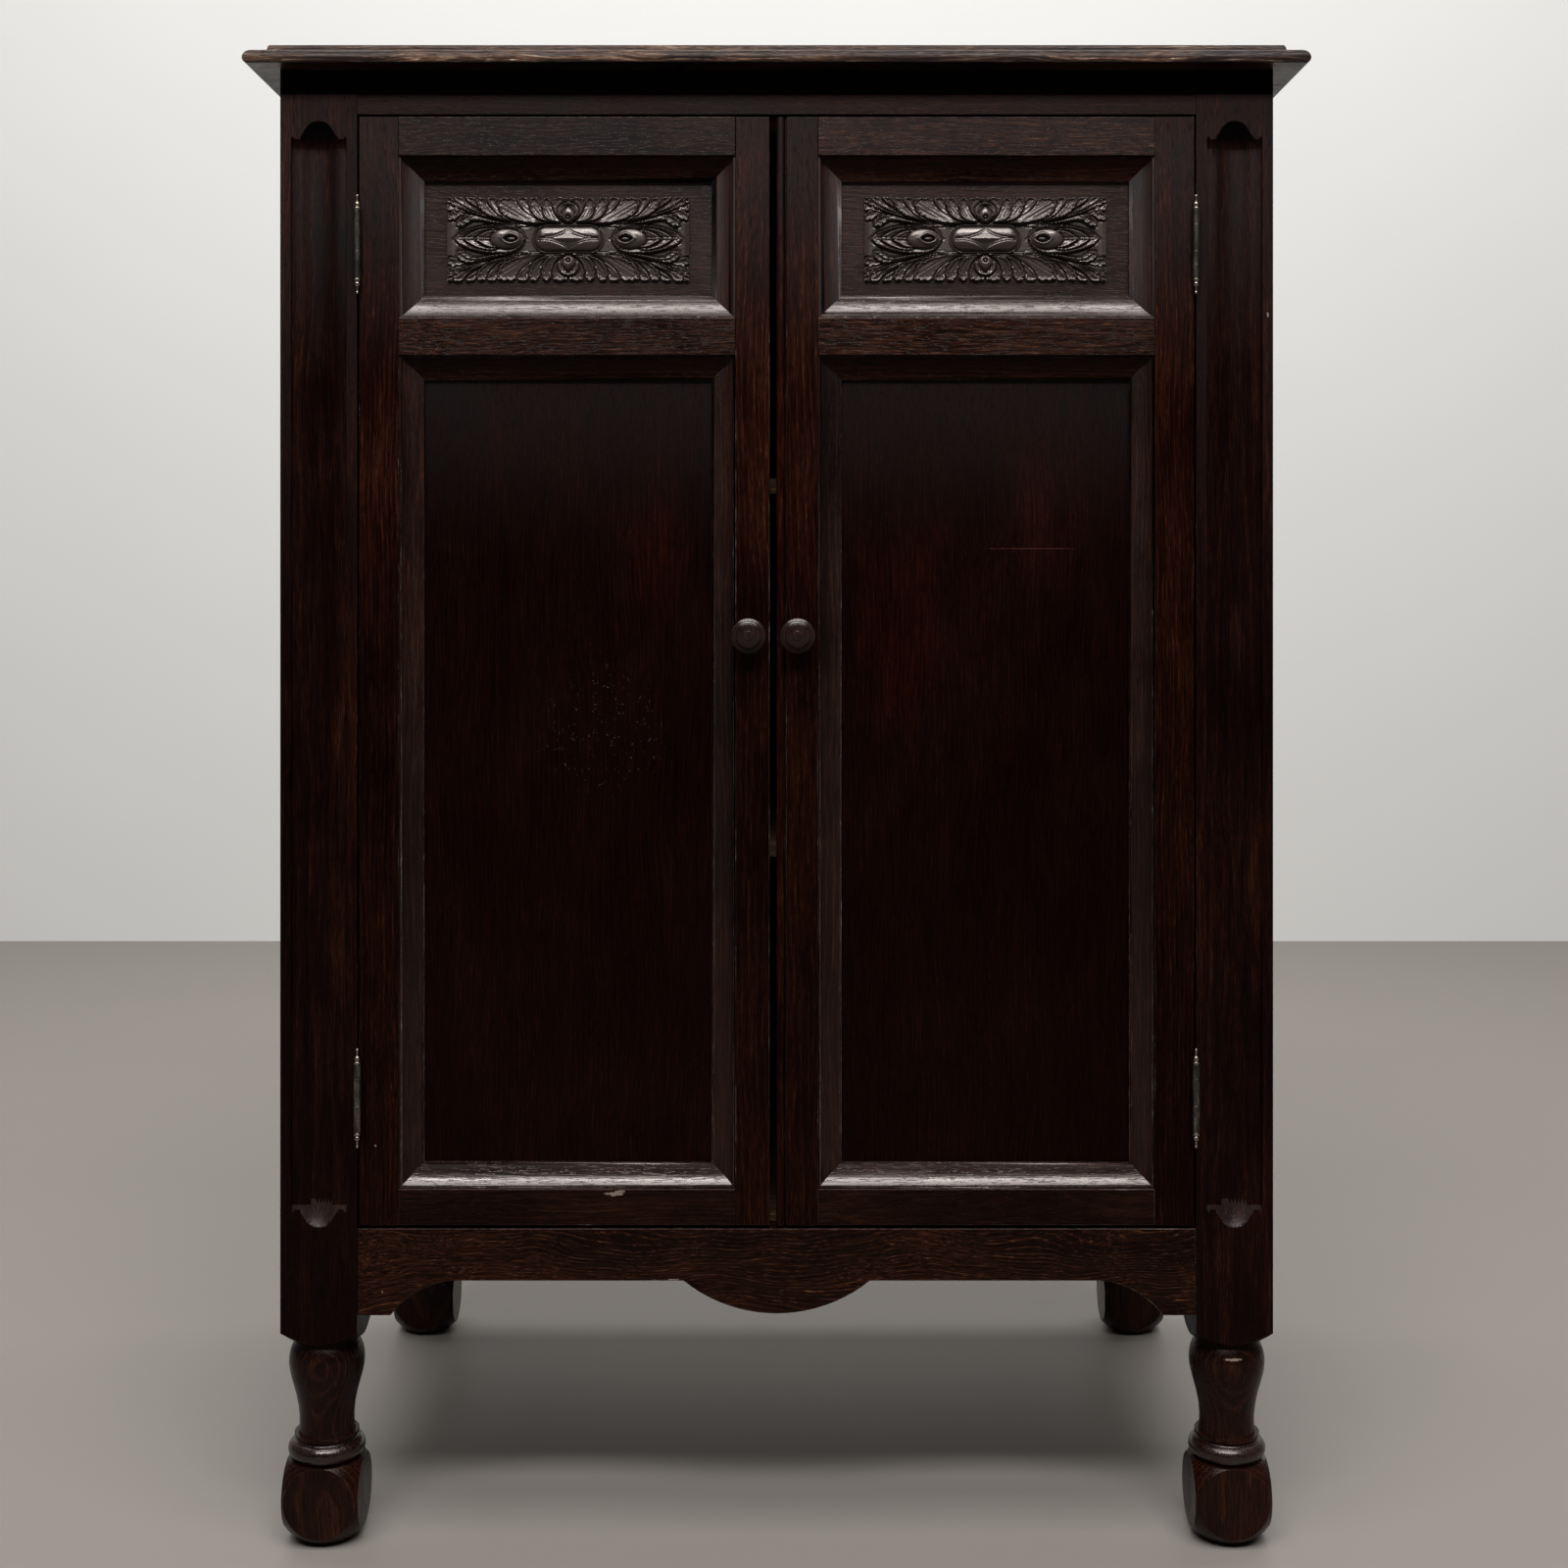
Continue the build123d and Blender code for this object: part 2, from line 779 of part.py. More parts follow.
button_places = [(0.0, rail_back, (0, 1)), (0.0, rear_face, (0, -1))]
for side in (-1, 1):
    for button_y in (front_inner + button_inset, rear_inner - button_inset):
        button_places.append((side * side_face, button_y, (-side, 0)))
screw_points = [
    (x + toward[0] * button_screw_set, y + toward[1] * button_screw_set)
    for x, y, toward in button_places
]
button_foot = case_height - button_height


def bore_button_screws():
    """Holes for the screws that hold the buttons up to the top."""
    for x, y in screw_points:
        with Locations((x, y, button_foot)):
            Cylinder(
                screw_shank_radius + bore_play,
                button_screw_length + bore_play,
                align=(Align.CENTER, Align.CENTER, Align.MIN),
                mode=Mode.SUBTRACT,
            )


half_top = half_width + top_overhang
with BuildPart() as top_board:
    # the front edge's section, run across the full width
    across = Plane((0, 0, 0), (0, -1, 0), (-1, 0, 0))
    extrude(edge_profile(across, -(front - top_overhang), back), amount=half_top, both=True)
    # both side edges' section, run from front to back: the two meet in mitres
    with BuildSketch(Plane.XZ):
        add(edge_profile(Plane.XY, half_top, cut_past))
        mirror(about=Plane.YZ)
    extrude(amount=overall_depth, both=True, mode=Mode.INTERSECT)
    bore_button_screws()
save(top_board.part, "top_board")

with BuildPart() as top_buttons:
    for x, y, toward in button_places:
        body = (button_foot, case_height)
        tongue = about(
            case_height - button_drop - button_tongue_height / 2,
            button_tongue_height - board_play,
        )
        if toward[0]:
            block((x, x + toward[0] * button_length), about(y, button_width), body)
            block((x - toward[0] * button_tongue, x), about(y, button_width), tongue)
        else:
            block(about(x, button_width), (y, y + toward[1] * button_length), body)
            block(about(x, button_width), (y - toward[1] * button_tongue, y), tongue)
    bore_button_screws()
save(top_buttons.part, "top_buttons")


# ================================================================ screws
def make_screw(length):
    """A countersunk wood screw along +Z, with its head's flat face at z = 0."""
    with BuildPart() as screw:
        with BuildSketch(Plane.XZ):
            with BuildLine():
                Polyline(
                    (0, 0),
                    (screw_head_radius, 0),
                    (screw_shank_radius, screw_head_depth),
                    (screw_shank_radius, length - screw_point),
                    (0, length),
                    (0, 0),
                )
            make_face()
        revolve(axis=Axis.Z, revolution_arc=360)
    return screw.part


with BuildPart() as top_screws:
    head_foot = button_foot - screw_head_depth
    for x, y in screw_points:
        with Locations((x, y, button_foot)):
            Cylinder(
                screw_shank_radius,
                button_screw_length,
                align=(Align.CENTER, Align.CENTER, Align.MIN),
            )
        with Locations((x, y, head_foot)):
            Cylinder(
                screw_head_radius,
                screw_head_depth,
                align=(Align.CENTER, Align.CENTER, Align.MIN),
            )
    fillet(
        top_screws.edges().filter_by(GeomType.CIRCLE).group_by(Axis.Z)[0],
        screw_head_depth / 2,
    )
save(top_screws.part, "top_screws")

# ================================================================ hinges
knuckle_pitch = leaf_height / knuckle_count
leaf_offset = leaf_gap / 2


def make_leaf(side, inner, middle):
    """A hinge leaf. inner is 1 on the post, -1 on the door's edge."""
    away = side * inner
    near_x = side * hinge_x + away * leaf_offset
    far_x = near_x + away * leaf_thickness
    own = [k for k in range(knuckle_count) if (k % 2 == 0) == (inner > 0)]
    with BuildPart() as leaf:
        block(
            (near_x, far_x),
            (rail_face, rail_face + leaf_depth),
            about(middle, leaf_height),
        )
        for k in own:
            centre = middle - leaf_height / 2 + (k + 0.5) * knuckle_pitch
            span = knuckle_pitch - knuckle_play
            block((near_x, far_x), (hinge_y, rail_face), about(centre, span))
            with Locations((side * hinge_x, hinge_y, centre)):
                Cylinder(knuckle_radius, span)
        with Locations((side * hinge_x, hinge_y, middle)):
            Cylinder(pin_radius + pin_play, 2 * leaf_height, mode=Mode.SUBTRACT)
        screws = screw_places["case" if inner > 0 else "door", side]
        for x, y, z in screws:
            if abs(z - middle) > leaf_height / 2:
                continue
            with Locations(Location((near_x, y, z), (0, away * 90, 0))):
                Cone(
                    screw_head_radius + bore_play,
                    screw_shank_radius + bore_play,
                    screw_head_depth,
                    align=(Align.CENTER, Align.CENTER, Align.MIN),
                    mode=Mode.SUBTRACT,
                )
                Cylinder(
                    screw_shank_radius + bore_play,
                    2 * leaf_thickness,
                    align=(Align.CENTER, Align.CENTER, Align.MIN),
                    mode=Mode.SUBTRACT,
                )
    return leaf.part


def make_pin(side, middle):
    """A hinge pin with a ring, a ball and a nib at each end."""
    half = leaf_height / 2
    with BuildPart(Location((side * hinge_x, hinge_y, middle))) as pin:
        Cylinder(pin_radius, leaf_height)
        for end in (-1, 1):
            with Locations((0, 0, end * (half + finial_ring / 2))):
                Cylinder(finial_ring_radius, finial_ring)
            with Locations((0, 0, end * (half + finial_ball_at))):
                Sphere(finial_ball_radius)
            nib_at = half + finial_length - finial_nib_radius
            with Locations((0, 0, end * nib_at)):
                Sphere(finial_nib_radius)
            neck = (half + finial_ring, nib_at)
            with Locations((0, 0, end * (neck[0] + neck[1]) / 2)):
                Cylinder(finial_neck_radius, neck[1] - neck[0])
        fillet(
            pin.edges()
            .filter_by(GeomType.CIRCLE)
            .filter_by(lambda edge: abs(edge.radius - finial_ring_radius) < pin_play),
            finial_ring_round,
        )
    return pin.part


for side, side_name in ((-1, "left"), (1, "right")):
    for inner, leaf_name in ((1, "case_leaves"), (-1, "door_leaves")):
        leaves = [make_leaf(side, inner, middle) for middle in hinge_middles]
        save(Compound(children=leaves), f"{side_name}_{leaf_name}")

pins = [make_pin(side, middle) for side in (-1, 1) for middle in hinge_middles]
save(Compound(children=pins), "hinge_pins")

screw = make_screw(screw_length)
for owner, inner in (("case", 1), ("door", -1)):
    for side, side_name in ((-1, "left"), (1, "right")):
        near_x = side * hinge_x + side * inner * leaf_offset
        turn = (0, side * inner * 90, 0)
        pieces = [
            screw.moved(Location((near_x, y, z), turn))
            for x, y, z in screw_places[owner, side]
        ]
        if owner == "door":
            save(Compound(children=pieces), f"{side_name}_door_screws")
        elif side < 0:
            case_pieces = pieces
        else:
            save(Compound(children=case_pieces + pieces), "case_hinge_screws")

# ================================================================ doors
def moulding_strip(place, length):
    """A mitred strip. place: origin at the middle of the sight edge on the panel,
    x along the strip, y into the panel, z out of it."""
    lip = moulding_width - moulding_lip
    hollow_top = moulding_height - moulding_quirk
    section = Plane(origin=place.origin, x_dir=place.y_dir, z_dir=place.x_dir)
    with BuildPart() as strip:
        with BuildSketch(section):
            with BuildLine():
                Polyline(
                    (moulding_fillet, hollow_top),
                    (moulding_fillet, moulding_height),
                    (0, moulding_height),
                    (0, 0),
                    (moulding_width, 0),
                    (moulding_width, moulding_lip_height),
                    (lip, moulding_lip_height),
                )
                ThreePointArc(
                    (lip, moulding_lip_height),
                    (moulding_hollow_in, moulding_hollow_height),
                    (moulding_fillet, hollow_top),
                )
            make_face()
        extrude(amount=length / 2, both=True)
        for end in (-1, 1):
            corner = place.from_local_coords((end * length / 2, 0, 0))
            normal = place.x_dir * -end - place.y_dir
            split(bisect_by=Plane(origin=corner, z_dir=normal), keep=Keep.TOP)
    return strip.part


def moulding_frame(x, z):
    """Four mitred strips round an opening between two x and two z values."""
    out = Vector(0, -1, 0)
    middle_x = (x[0] + x[1]) / 2
    middle_z = (z[0] + z[1]) / 2
    width = abs(x[1] - x[0])
    height = z[1] - z[0]
    sides = (
        ((middle_x, z[1]), (-1, 0, 0), width),
        ((middle_x, z[0]), (1, 0, 0), width),
        ((min(x), middle_z), (0, 0, -1), height),
        ((max(x), middle_z), (0, 0, 1), height),
    )
    strips = []
    for (at_x, at_z), run, length in sides:
        origin = (at_x, door_panel_face, at_z)
        place = Plane(origin=origin, x_dir=run, z_dir=out)
        strips.append(moulding_strip(place, length))
    return Compound(children=strips)


def make_plaque(middle_x, middle_z):
    """The applied carving: scalloped ground, oval boss, two buds, two rosettes."""
    face = Plane(
        origin=(middle_x, door_panel_face, middle_z), x_dir=(1, 0, 0), z_dir=(0, -1, 0)
    )
    half_w = plaque_width / 2 - lobe_rise
    half_h = plaque_height / 2 - lobe_rise
    with BuildPart() as plaque:
        with BuildSketch(face):
            Rectangle(2 * half_w, 2 * half_h)
            pitch = 2 * half_w / leaf_lobes
            for k in range(leaf_lobes):
                lobe_x = -half_w + (k + 0.5) * pitch
                for end in (-1, 1):
                    with Locations((lobe_x, end * half_h)):
                        Ellipse(pitch * lobe_overlap, lobe_rise)
            rows = round(leaf_lobes * plaque_height / plaque_width)
            row_pitch = 2 * half_h / rows
            for k in range(rows):
                lobe_y = -half_h + (k + 0.5) * row_pitch
                for end in (-1, 1):
                    with Locations((end * half_w, lobe_y)):
                        Ellipse(lobe_rise, row_pitch * lobe_overlap)
        extrude(amount=plaque_ground)
        domes = [((0, 0), boss_length, boss_height, boss_rise)]
        for end in (-1, 1):
            domes.append(((end * bud_offset, 0), bud_length, bud_height, bud_rise))
            rosette = 2 * rosette_radius
            domes.append(((0, end * rosette_offset), rosette, rosette, rosette_rise))
        for (at_x, at_z), length, height, rise in domes:
            for level, share in ((plaque_ground, 1.0), (rise, crown_share)):
                with BuildSketch(face.offset(level)):
                    with Locations((at_x, at_z)):
                        Ellipse(share * length / 2, share * height / 2)
            loft()
    return plaque.part


def make_knob(x):
    """A turned knob: flared neck, ringed disc, domed middle with a small nib."""
    centre = (x, rail_face, knob_height)
    disc_front = knob_disc_at + knob_edge
    dome_foot = disc_front + knob_dome_step
    nib_foot = knob_reach - knob_nib_radius
    with BuildPart() as knob:
        with BuildSketch(Plane(origin=centre, x_dir=(1, 0, 0), z_dir=(0, 0, -1))):
            with BuildLine():
                Polyline(
                    (0, -knob_spigot_length),
                    (knob_spigot_radius, -knob_spigot_length),
                    (knob_spigot_radius, 0),
                    (knob_foot_radius, 0),
                    (knob_foot_radius, knob_edge / 2),
                )
                ThreePointArc(
                    (knob_foot_radius, knob_edge / 2),
                    (knob_neck_radius, knob_neck_at),
                    (knob_radius - knob_edge / 2, knob_disc_at),
                )
                ThreePointArc(
                    (knob_radius - knob_edge / 2, knob_disc_at),
                    (knob_radius, knob_disc_at + knob_edge / 2),
                    (knob_radius - knob_edge / 2, disc_front),
                )
                Line((knob_radius - knob_edge / 2, disc_front), (knob_dome_radius, dome_foot))
                ThreePointArc(
                    (knob_dome_radius, dome_foot),
                    (knob_dome_side, dome_foot + knob_dome_rise),
                    (knob_nib_radius, nib_foot),
                )
                CenterArc((0, nib_foot), knob_nib_radius, 0, 90)
                Line((0, knob_reach), (0, -knob_spigot_length))
            make_face()
        revolve(axis=Axis(centre, (0, 1, 0)), revolution_arc=360)
    return knob.part


def make_door(side, side_name, meeting_width):
    """All pieces of one door. side is -1 left, 1 right."""
    depth = (rail_face, door_back)
    groove_y = about(door_panel_face + door_panel_thickness / 2, door_panel_thickness)
    hinge_edge = side * door_edge
    outer_sight = side * sight_edge
    inner_sight = side * (sight_edge - sight_width)
    meeting_edge = inner_sight - side * meeting_width
    tongue = door_groove - panel_play
    door_z = (door_bottom, door_top)

    with BuildPart() as hinge_stile:
        block((hinge_edge, outer_sight), depth, door_z)
        block(
            (outer_sight, outer_sight + side * door_groove),
            groove_y,
            door_z,
            mode=Mode.SUBTRACT,
        )
        for middle in hinge_middles:
            block(
                (hinge_edge, hinge_edge - side * leaf_cut),
                (rail_face, rail_face + leaf_depth),
                about(middle, leaf_height),
                mode=Mode.SUBTRACT,
            )
        drill_screws(screw_places["door", side], -side, screw_shank_radius + bore_play)
    save(hinge_stile.part, f"{side_name}_hinge_stile")

    knob_x = meeting_edge + side * knob_inset
    with BuildPart() as meeting_stile:
        block((meeting_edge, inner_sight), depth, door_z)
        block(
            (inner_sight, inner_sight - side * door_groove),
            groove_y,
            door_z,
            mode=Mode.SUBTRACT,
        )
        with Locations(Location((knob_x, rail_face, knob_height), (-90, 0, 0))):
            Cylinder(
                knob_spigot_radius + bore_play,
                knob_spigot_length + bore_play,
                align=(Align.CENTER, Align.CENTER, Align.MIN),
                mode=Mode.SUBTRACT,
            )
        if side > 0:
            # a bead worked on the meeting edge, with a quirk beside it
            block(
                (meeting_edge + bead_width, meeting_edge + bead_width + bead_quirk),
                (rail_face, rail_face + bead_depth),
                door_z,
                mode=Mode.SUBTRACT,
            )
            bead_edges = (
                meeting_stile.edges()
                .filter_by(Axis.Z)
                .group_by(Axis.Y)[0]
                .sort_by(Axis.X)[:2]
            )
            fillet(bead_edges, bead_round)
    save(meeting_stile.part, f"{side_name}_meeting_stile")

    catch_x = meeting_edge + side * catch_inset
    ball_z = top_rail_foot - catch_clearance - catch_ball_radius
    members = (
        ("top", (upper_sight[1], door_top), False, True),
        ("frieze", (frieze_foot, frieze_foot + frieze_height), True, True),
        ("bottom", (door_bottom, door_bottom + bottom_member), True, False),
    )
    for name, heights, groove_above, groove_below in members:
        with BuildPart() as member:
            block((outer_sight, inner_sight), depth, heights)
            tenon_z = (
                heights[0] + (door_groove if groove_below else 0),
                heights[1] - (door_groove if groove_above else 0),
            )
            block(
                (outer_sight + side * tongue, inner_sight - side * tongue),
                groove_y,
                tenon_z,
            )
            for cut, groove_z in (
                (groove_above, (heights[1] - door_groove, heights[1])),
                (groove_below, (heights[0], heights[0] + door_groove)),
            ):
                if cut:
                    block(
                        (outer_sight, inner_sight), groove_y, groove_z, mode=Mode.SUBTRACT
                    )
            if name == "top":
                with Locations((catch_x, catch_y, door_top)):
                    Cylinder(
                        catch_flange_radius + bore_play,
                        catch_flange,
                        align=(Align.CENTER, Align.CENTER, Align.MAX),
                        mode=Mode.SUBTRACT,
                    )
                    Cylinder(
                        catch_radius + bore_play,
                        catch_length,
                        align=(Align.CENTER, Align.CENTER, Align.MAX),
                        mode=Mode.SUBTRACT,
                    )
        save(member.part, f"{side_name}_door_{name}_rail")

    for name, sight in (("upper", upper_sight), ("lower", lower_sight)):
        with BuildPart() as door_panel:
            block(
                (outer_sight + side * tongue, inner_sight - side * tongue),
                groove_y,
                (sight[0] - tongue, sight[1] + tongue),
            )
        save(door_panel.part, f"{side_name}_{name}_panel")
        strips = moulding_frame((outer_sight, inner_sight), sight)
        save(strips, f"{side_name}_{name}_moulding")

    plaque_x = (outer_sight + inner_sight) / 2
    plaque_z = (upper_sight[0] + upper_sight[1]) / 2
    save(make_plaque(plaque_x, plaque_z), f"{side_name}_carved_plaque")
    save(make_knob(knob_x), f"{side_name}_knob")

    with BuildPart() as catch_barrel:
        with Locations((catch_x, catch_y, door_top)):
            Cylinder(
                catch_flange_radius,
                catch_flange,
                align=(Align.CENTER, Align.CENTER, Align.MAX),
            )
            Cylinder(
                catch_radius,
                catch_length,
                align=(Align.CENTER, Align.CENTER, Align.MAX),
            )
        with Locations((catch_x, catch_y, ball_z)):
            Cylinder(
                catch_ball_radius + catch_play,
                ball_z - (door_top - catch_length) - catch_floor,
                align=(Align.CENTER, Align.CENTER, Align.MAX),
                mode=Mode.SUBTRACT,
            )
            Sphere(catch_ball_radius + catch_play, mode=Mode.SUBTRACT)
    save(catch_barrel.part, f"{side_name}_catch_barrel")

    with BuildPart() as catch_ball:
        with Locations((catch_x, catch_y, ball_z)):
            Sphere(catch_ball_radius)
    save(catch_ball.part, f"{side_name}_catch_ball")


make_door(-1, "left", left_meeting_width)
make_door(1, "right", right_meeting_width)
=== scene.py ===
import json
from math import cos, pi, radians, sin

import bpy
import numpy as np
from bpy.props import FloatProperty, FloatVectorProperty, IntProperty, PointerProperty
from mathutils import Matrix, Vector


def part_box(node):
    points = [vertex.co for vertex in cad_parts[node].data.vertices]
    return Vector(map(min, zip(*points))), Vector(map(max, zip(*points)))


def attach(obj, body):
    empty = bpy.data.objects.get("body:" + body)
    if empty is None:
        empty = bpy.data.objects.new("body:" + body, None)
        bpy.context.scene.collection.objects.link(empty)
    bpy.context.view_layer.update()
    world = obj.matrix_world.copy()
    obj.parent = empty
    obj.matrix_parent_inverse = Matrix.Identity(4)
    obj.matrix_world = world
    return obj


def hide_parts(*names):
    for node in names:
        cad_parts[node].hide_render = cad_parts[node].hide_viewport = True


bl_info = {
    "name": "Court cupboard finish",
    "version": (1, 0, 0),
    "blender": (4, 5, 0),
    "location": "3D View > Sidebar > Cupboard",
    "description": "Carving, turning, eased edges and oak finish for a two-door court cupboard",
    "category": "Object",
}

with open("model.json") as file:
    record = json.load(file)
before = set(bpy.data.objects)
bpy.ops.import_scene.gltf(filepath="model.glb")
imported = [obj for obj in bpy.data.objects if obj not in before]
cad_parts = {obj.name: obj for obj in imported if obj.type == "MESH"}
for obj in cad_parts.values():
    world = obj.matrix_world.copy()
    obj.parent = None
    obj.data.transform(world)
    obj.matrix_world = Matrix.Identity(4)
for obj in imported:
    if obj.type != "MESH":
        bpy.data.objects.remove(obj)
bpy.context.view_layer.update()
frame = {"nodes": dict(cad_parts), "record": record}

BODY_OF = {
    node: body
    for body, nodes in frame["record"]["behaviour"]["bodies"].items()
    for node in nodes
}
MM = 0.001
# the two sides, and which way across they lie
SIDES = {"left": -1.0, "right": 1.0}


# ---------------------------------------------------------------- settings
# what every colour setting shares
COLOUR = {"subtype": "COLOR", "size": 3, "min": 0.0, "max": 1.0}


class OakSettings(bpy.types.PropertyGroup):
    """Colours and depth of the stained oak."""

    stain: FloatVectorProperty(
        name="Stain", description="Darkest tone of the stained oak",
        default=(0.0034, 0.0006, 0.0004), **COLOUR,
    )
    warm: FloatVectorProperty(
        name="Warm", description="Red brown that shows where the stain is thin",
        default=(0.0145, 0.0034, 0.0014), **COLOUR,
    )
    worn: FloatVectorProperty(
        name="Worn", description="Bare tone along rubbed edges",
        default=(0.050, 0.032, 0.024), **COLOUR,
    )
    inside: FloatVectorProperty(
        name="Inside", description="Unpolished wood inside the case",
        default=(0.16, 0.085, 0.045), **COLOUR,
    )
    ridge: FloatVectorProperty(
        name="Ridge", description="Tone of the rubbed ridges of the carving",
        default=(0.042, 0.032, 0.028), **COLOUR,
    )
    bare: FloatVectorProperty(
        name="Bare", description="Bare wood in chips and scratches",
        default=(0.22, 0.165, 0.135), **COLOUR,
    )
    wax: FloatVectorProperty(
        name="Wax", description="Tint of the sheen of the waxed surface",
        default=(1.0, 0.72, 0.60), **COLOUR,
    )
    pore_depth: FloatProperty(
        name="Pore depth", description="Depth of the open pores, in millimetres",
        min=0.0, max=0.5, default=0.09,
    )
    roughness: FloatProperty(
        name="Roughness", description="Roughness of the waxed surface",
        subtype="FACTOR", min=0.0, max=1.0, default=0.34,
    )
    leg_height: FloatProperty(
        name="Leg height", description="Top of the turned part of the posts",
        unit="LENGTH", min=0.0, max=0.5, default=0.1572,
    )
    edge: FloatProperty(
        name="Eased edge", description="Width of the eased edges of the joinery",
        unit="LENGTH", min=0.0, max=0.003, default=0.0006,
    )


class CarvingSettings(bpy.types.PropertyGroup):
    """Sizes of the carved plaques."""

    pitch: FloatProperty(
        name="Pitch", description="Spacing of the points of the carved surface",
        unit="LENGTH", min=0.0002, max=0.002, default=0.0004,
    )
    ground: FloatProperty(
        name="Ground", description="Thickness of the carving between its leaves",
        unit="LENGTH", min=0.0, max=0.004, default=0.0009,
    )
    relief: FloatProperty(
        name="Relief", description="Height of the leaves above the ground",
        unit="LENGTH", min=0.0, max=0.006, default=0.0036,
    )


class KnobSettings(bpy.types.PropertyGroup):
    """Turning of the knobs."""

    steps: IntProperty(
        name="Steps", description="Faces round each turned piece",
        min=12, max=128, default=96,
    )
    ridge: FloatProperty(
        name="Ridge", description="Height of the fine rings turned on the dome",
        unit="LENGTH", min=0.0, max=0.001, default=0.00004,
    )


class MetalSettings(bpy.types.PropertyGroup):
    """Colours of the hinges, screws and catches."""

    patina: FloatVectorProperty(
        name="Patina", description="Dark tone of the old brass",
        default=(0.040, 0.035, 0.031), **COLOUR,
    )
    rubbed: FloatVectorProperty(
        name="Rubbed", description="Tone of the brass where it is rubbed",
        default=(0.26, 0.22, 0.18), **COLOUR,
    )
    tarnish: FloatVectorProperty(
        name="Tarnish", description="Dark tone of the old steel",
        default=(0.05, 0.048, 0.046), **COLOUR,
    )
    steel: FloatVectorProperty(
        name="Steel", description="Dull steel of the screws and catch balls",
        default=(0.22, 0.21, 0.20), **COLOUR,
    )


class StageSettings(bpy.types.PropertyGroup):
    """Floor, backdrop, lamps and camera."""

    floor: FloatVectorProperty(
        name="Floor", description="Colour of the plain floor",
        default=(0.27, 0.245, 0.22), **COLOUR,
    )
    wall: FloatVectorProperty(
        name="Backdrop", description="Colour of the plain backdrop",
        default=(0.72, 0.71, 0.69), **COLOUR,
    )
    wall_distance: FloatProperty(
        name="Backdrop distance", description="Backdrop behind the middle of the cupboard",
        unit="LENGTH", min=0.5, max=10.0, default=2.46,
    )
    eye_height: FloatProperty(
        name="Eye height", description="Camera above the floor",
        unit="LENGTH", min=0.0, max=3.0, default=0.7245,
    )
    eye_distance: FloatProperty(
        name="Eye distance", description="Camera in front of the middle of the cupboard",
        unit="LENGTH", min=0.5, max=10.0, default=1.7835,
    )
    eye_side: FloatProperty(
        name="Eye side", description="Camera to the right of the middle of the cupboard",
        unit="LENGTH", min=-2.0, max=2.0, default=0.0078,
    )
    lens: FloatProperty(
        name="Lens", description="Focal length for a sensor 36 mm wide",
        min=10.0, max=200.0, default=46.96,
    )
    overhead: FloatProperty(
        name="Overhead", description="Power of the overhead softbox, in watts",
        min=0.0, max=1000.0, default=55.0,
    )
    front: FloatProperty(
        name="Front", description="Power of the high front softbox, in watts",
        min=0.0, max=1000.0, default=190.0,
    )
    back: FloatProperty(
        name="Back", description="Power of the softbox over the backdrop, in watts",
        min=0.0, max=1000.0, default=58.0,
    )
    horizon: FloatProperty(
        name="Horizon", description="Brightness of the pale surroundings as polish mirrors them",
        min=0.0, max=1.0, default=0.12,
    )
    ambient: FloatProperty(
        name="Ambient", description="Strength of the even light from all round",
        min=0.0, max=2.0, default=0.012,
    )


SETTINGS = {
    "oak": OakSettings,
    "carving": CarvingSettings,
    "knobs": KnobSettings,
    "metal": MetalSettings,
    "stage": StageSettings,
}


def settings(name):
    """The scene's settings of that name."""
    return getattr(bpy.context.scene, "cupboard_" + name)

# ---------------------------------------------------------------- node helpers
def add_node(tree, kind, sockets=None, **attributes):
    """A shader node with its attributes set and its input sockets set or linked."""
    node = tree.nodes.new("ShaderNode" + kind)
    for name, value in attributes.items():
        setattr(node, name, value)
    for name, value in (sockets or {}).items():
        feed(tree, value, node.inputs[name])
    return node


def feed(tree, value, socket):
    """Links a socket into another one, or sets it to a plain value."""
    if isinstance(value, bpy.types.NodeSocket):
        tree.links.new(value, socket)
    elif hasattr(socket.default_value, "__len__") and len(socket.default_value) == 4:
        socket.default_value = (*value[:3], 1.0)
    else:
        socket.default_value = value


def calculate(tree, operation, first, second=0.0, third=0.0):
    """The output of a Math node."""
    return add_node(tree, "Math", {0: first, 1: second, 2: third}, operation=operation).outputs[0]


def combine(tree, operation, first, second):
    """The output of a Vector Math node that takes two vectors."""
    return add_node(tree, "VectorMath", {0: first, 1: second}, operation=operation).outputs[0]


def stretched(tree, vector, amount):
    """A vector multiplied by one amount."""
    return add_node(tree, "VectorMath", {0: vector, "Scale": amount}, operation="SCALE").outputs[0]


def length_of(tree, vector):
    """How long a vector is."""
    return add_node(tree, "VectorMath", {0: vector}, operation="LENGTH").outputs["Value"]


def axis_of(tree, vector, axis):
    """One of a vector's three axes."""
    return add_node(tree, "SeparateXYZ", {0: vector}).outputs[axis]


def swing(tree, value, amount, base=0.0):
    """A base moved from half an amount down to half up as a value goes from 0 to 1."""
    low = calculate(tree, "ADD", base, -amount / 2) if base else -amount / 2
    return calculate(tree, "MULTIPLY_ADD", value, amount, low)


def noise(tree, vector, amounts, detail=2.0, roughness=0.5, output="Fac"):
    """Noise of a vector stretched by three numbers, from 0 to 1."""
    place = combine(tree, "MULTIPLY", vector, amounts)
    sockets = {"Vector": place, "Scale": 1.0, "Detail": detail, "Roughness": roughness}
    return add_node(tree, "TexNoise", sockets).outputs[output]


def ramp(tree, value, low, high, to_low=0.0, to_high=1.0):
    """A value taken smoothly from one range to another."""
    sockets = {"Value": value, "From Min": low, "From Max": high, "To Min": to_low, "To Max": to_high}
    return add_node(tree, "MapRange", sockets, interpolation_type="SMOOTHSTEP").outputs["Result"]


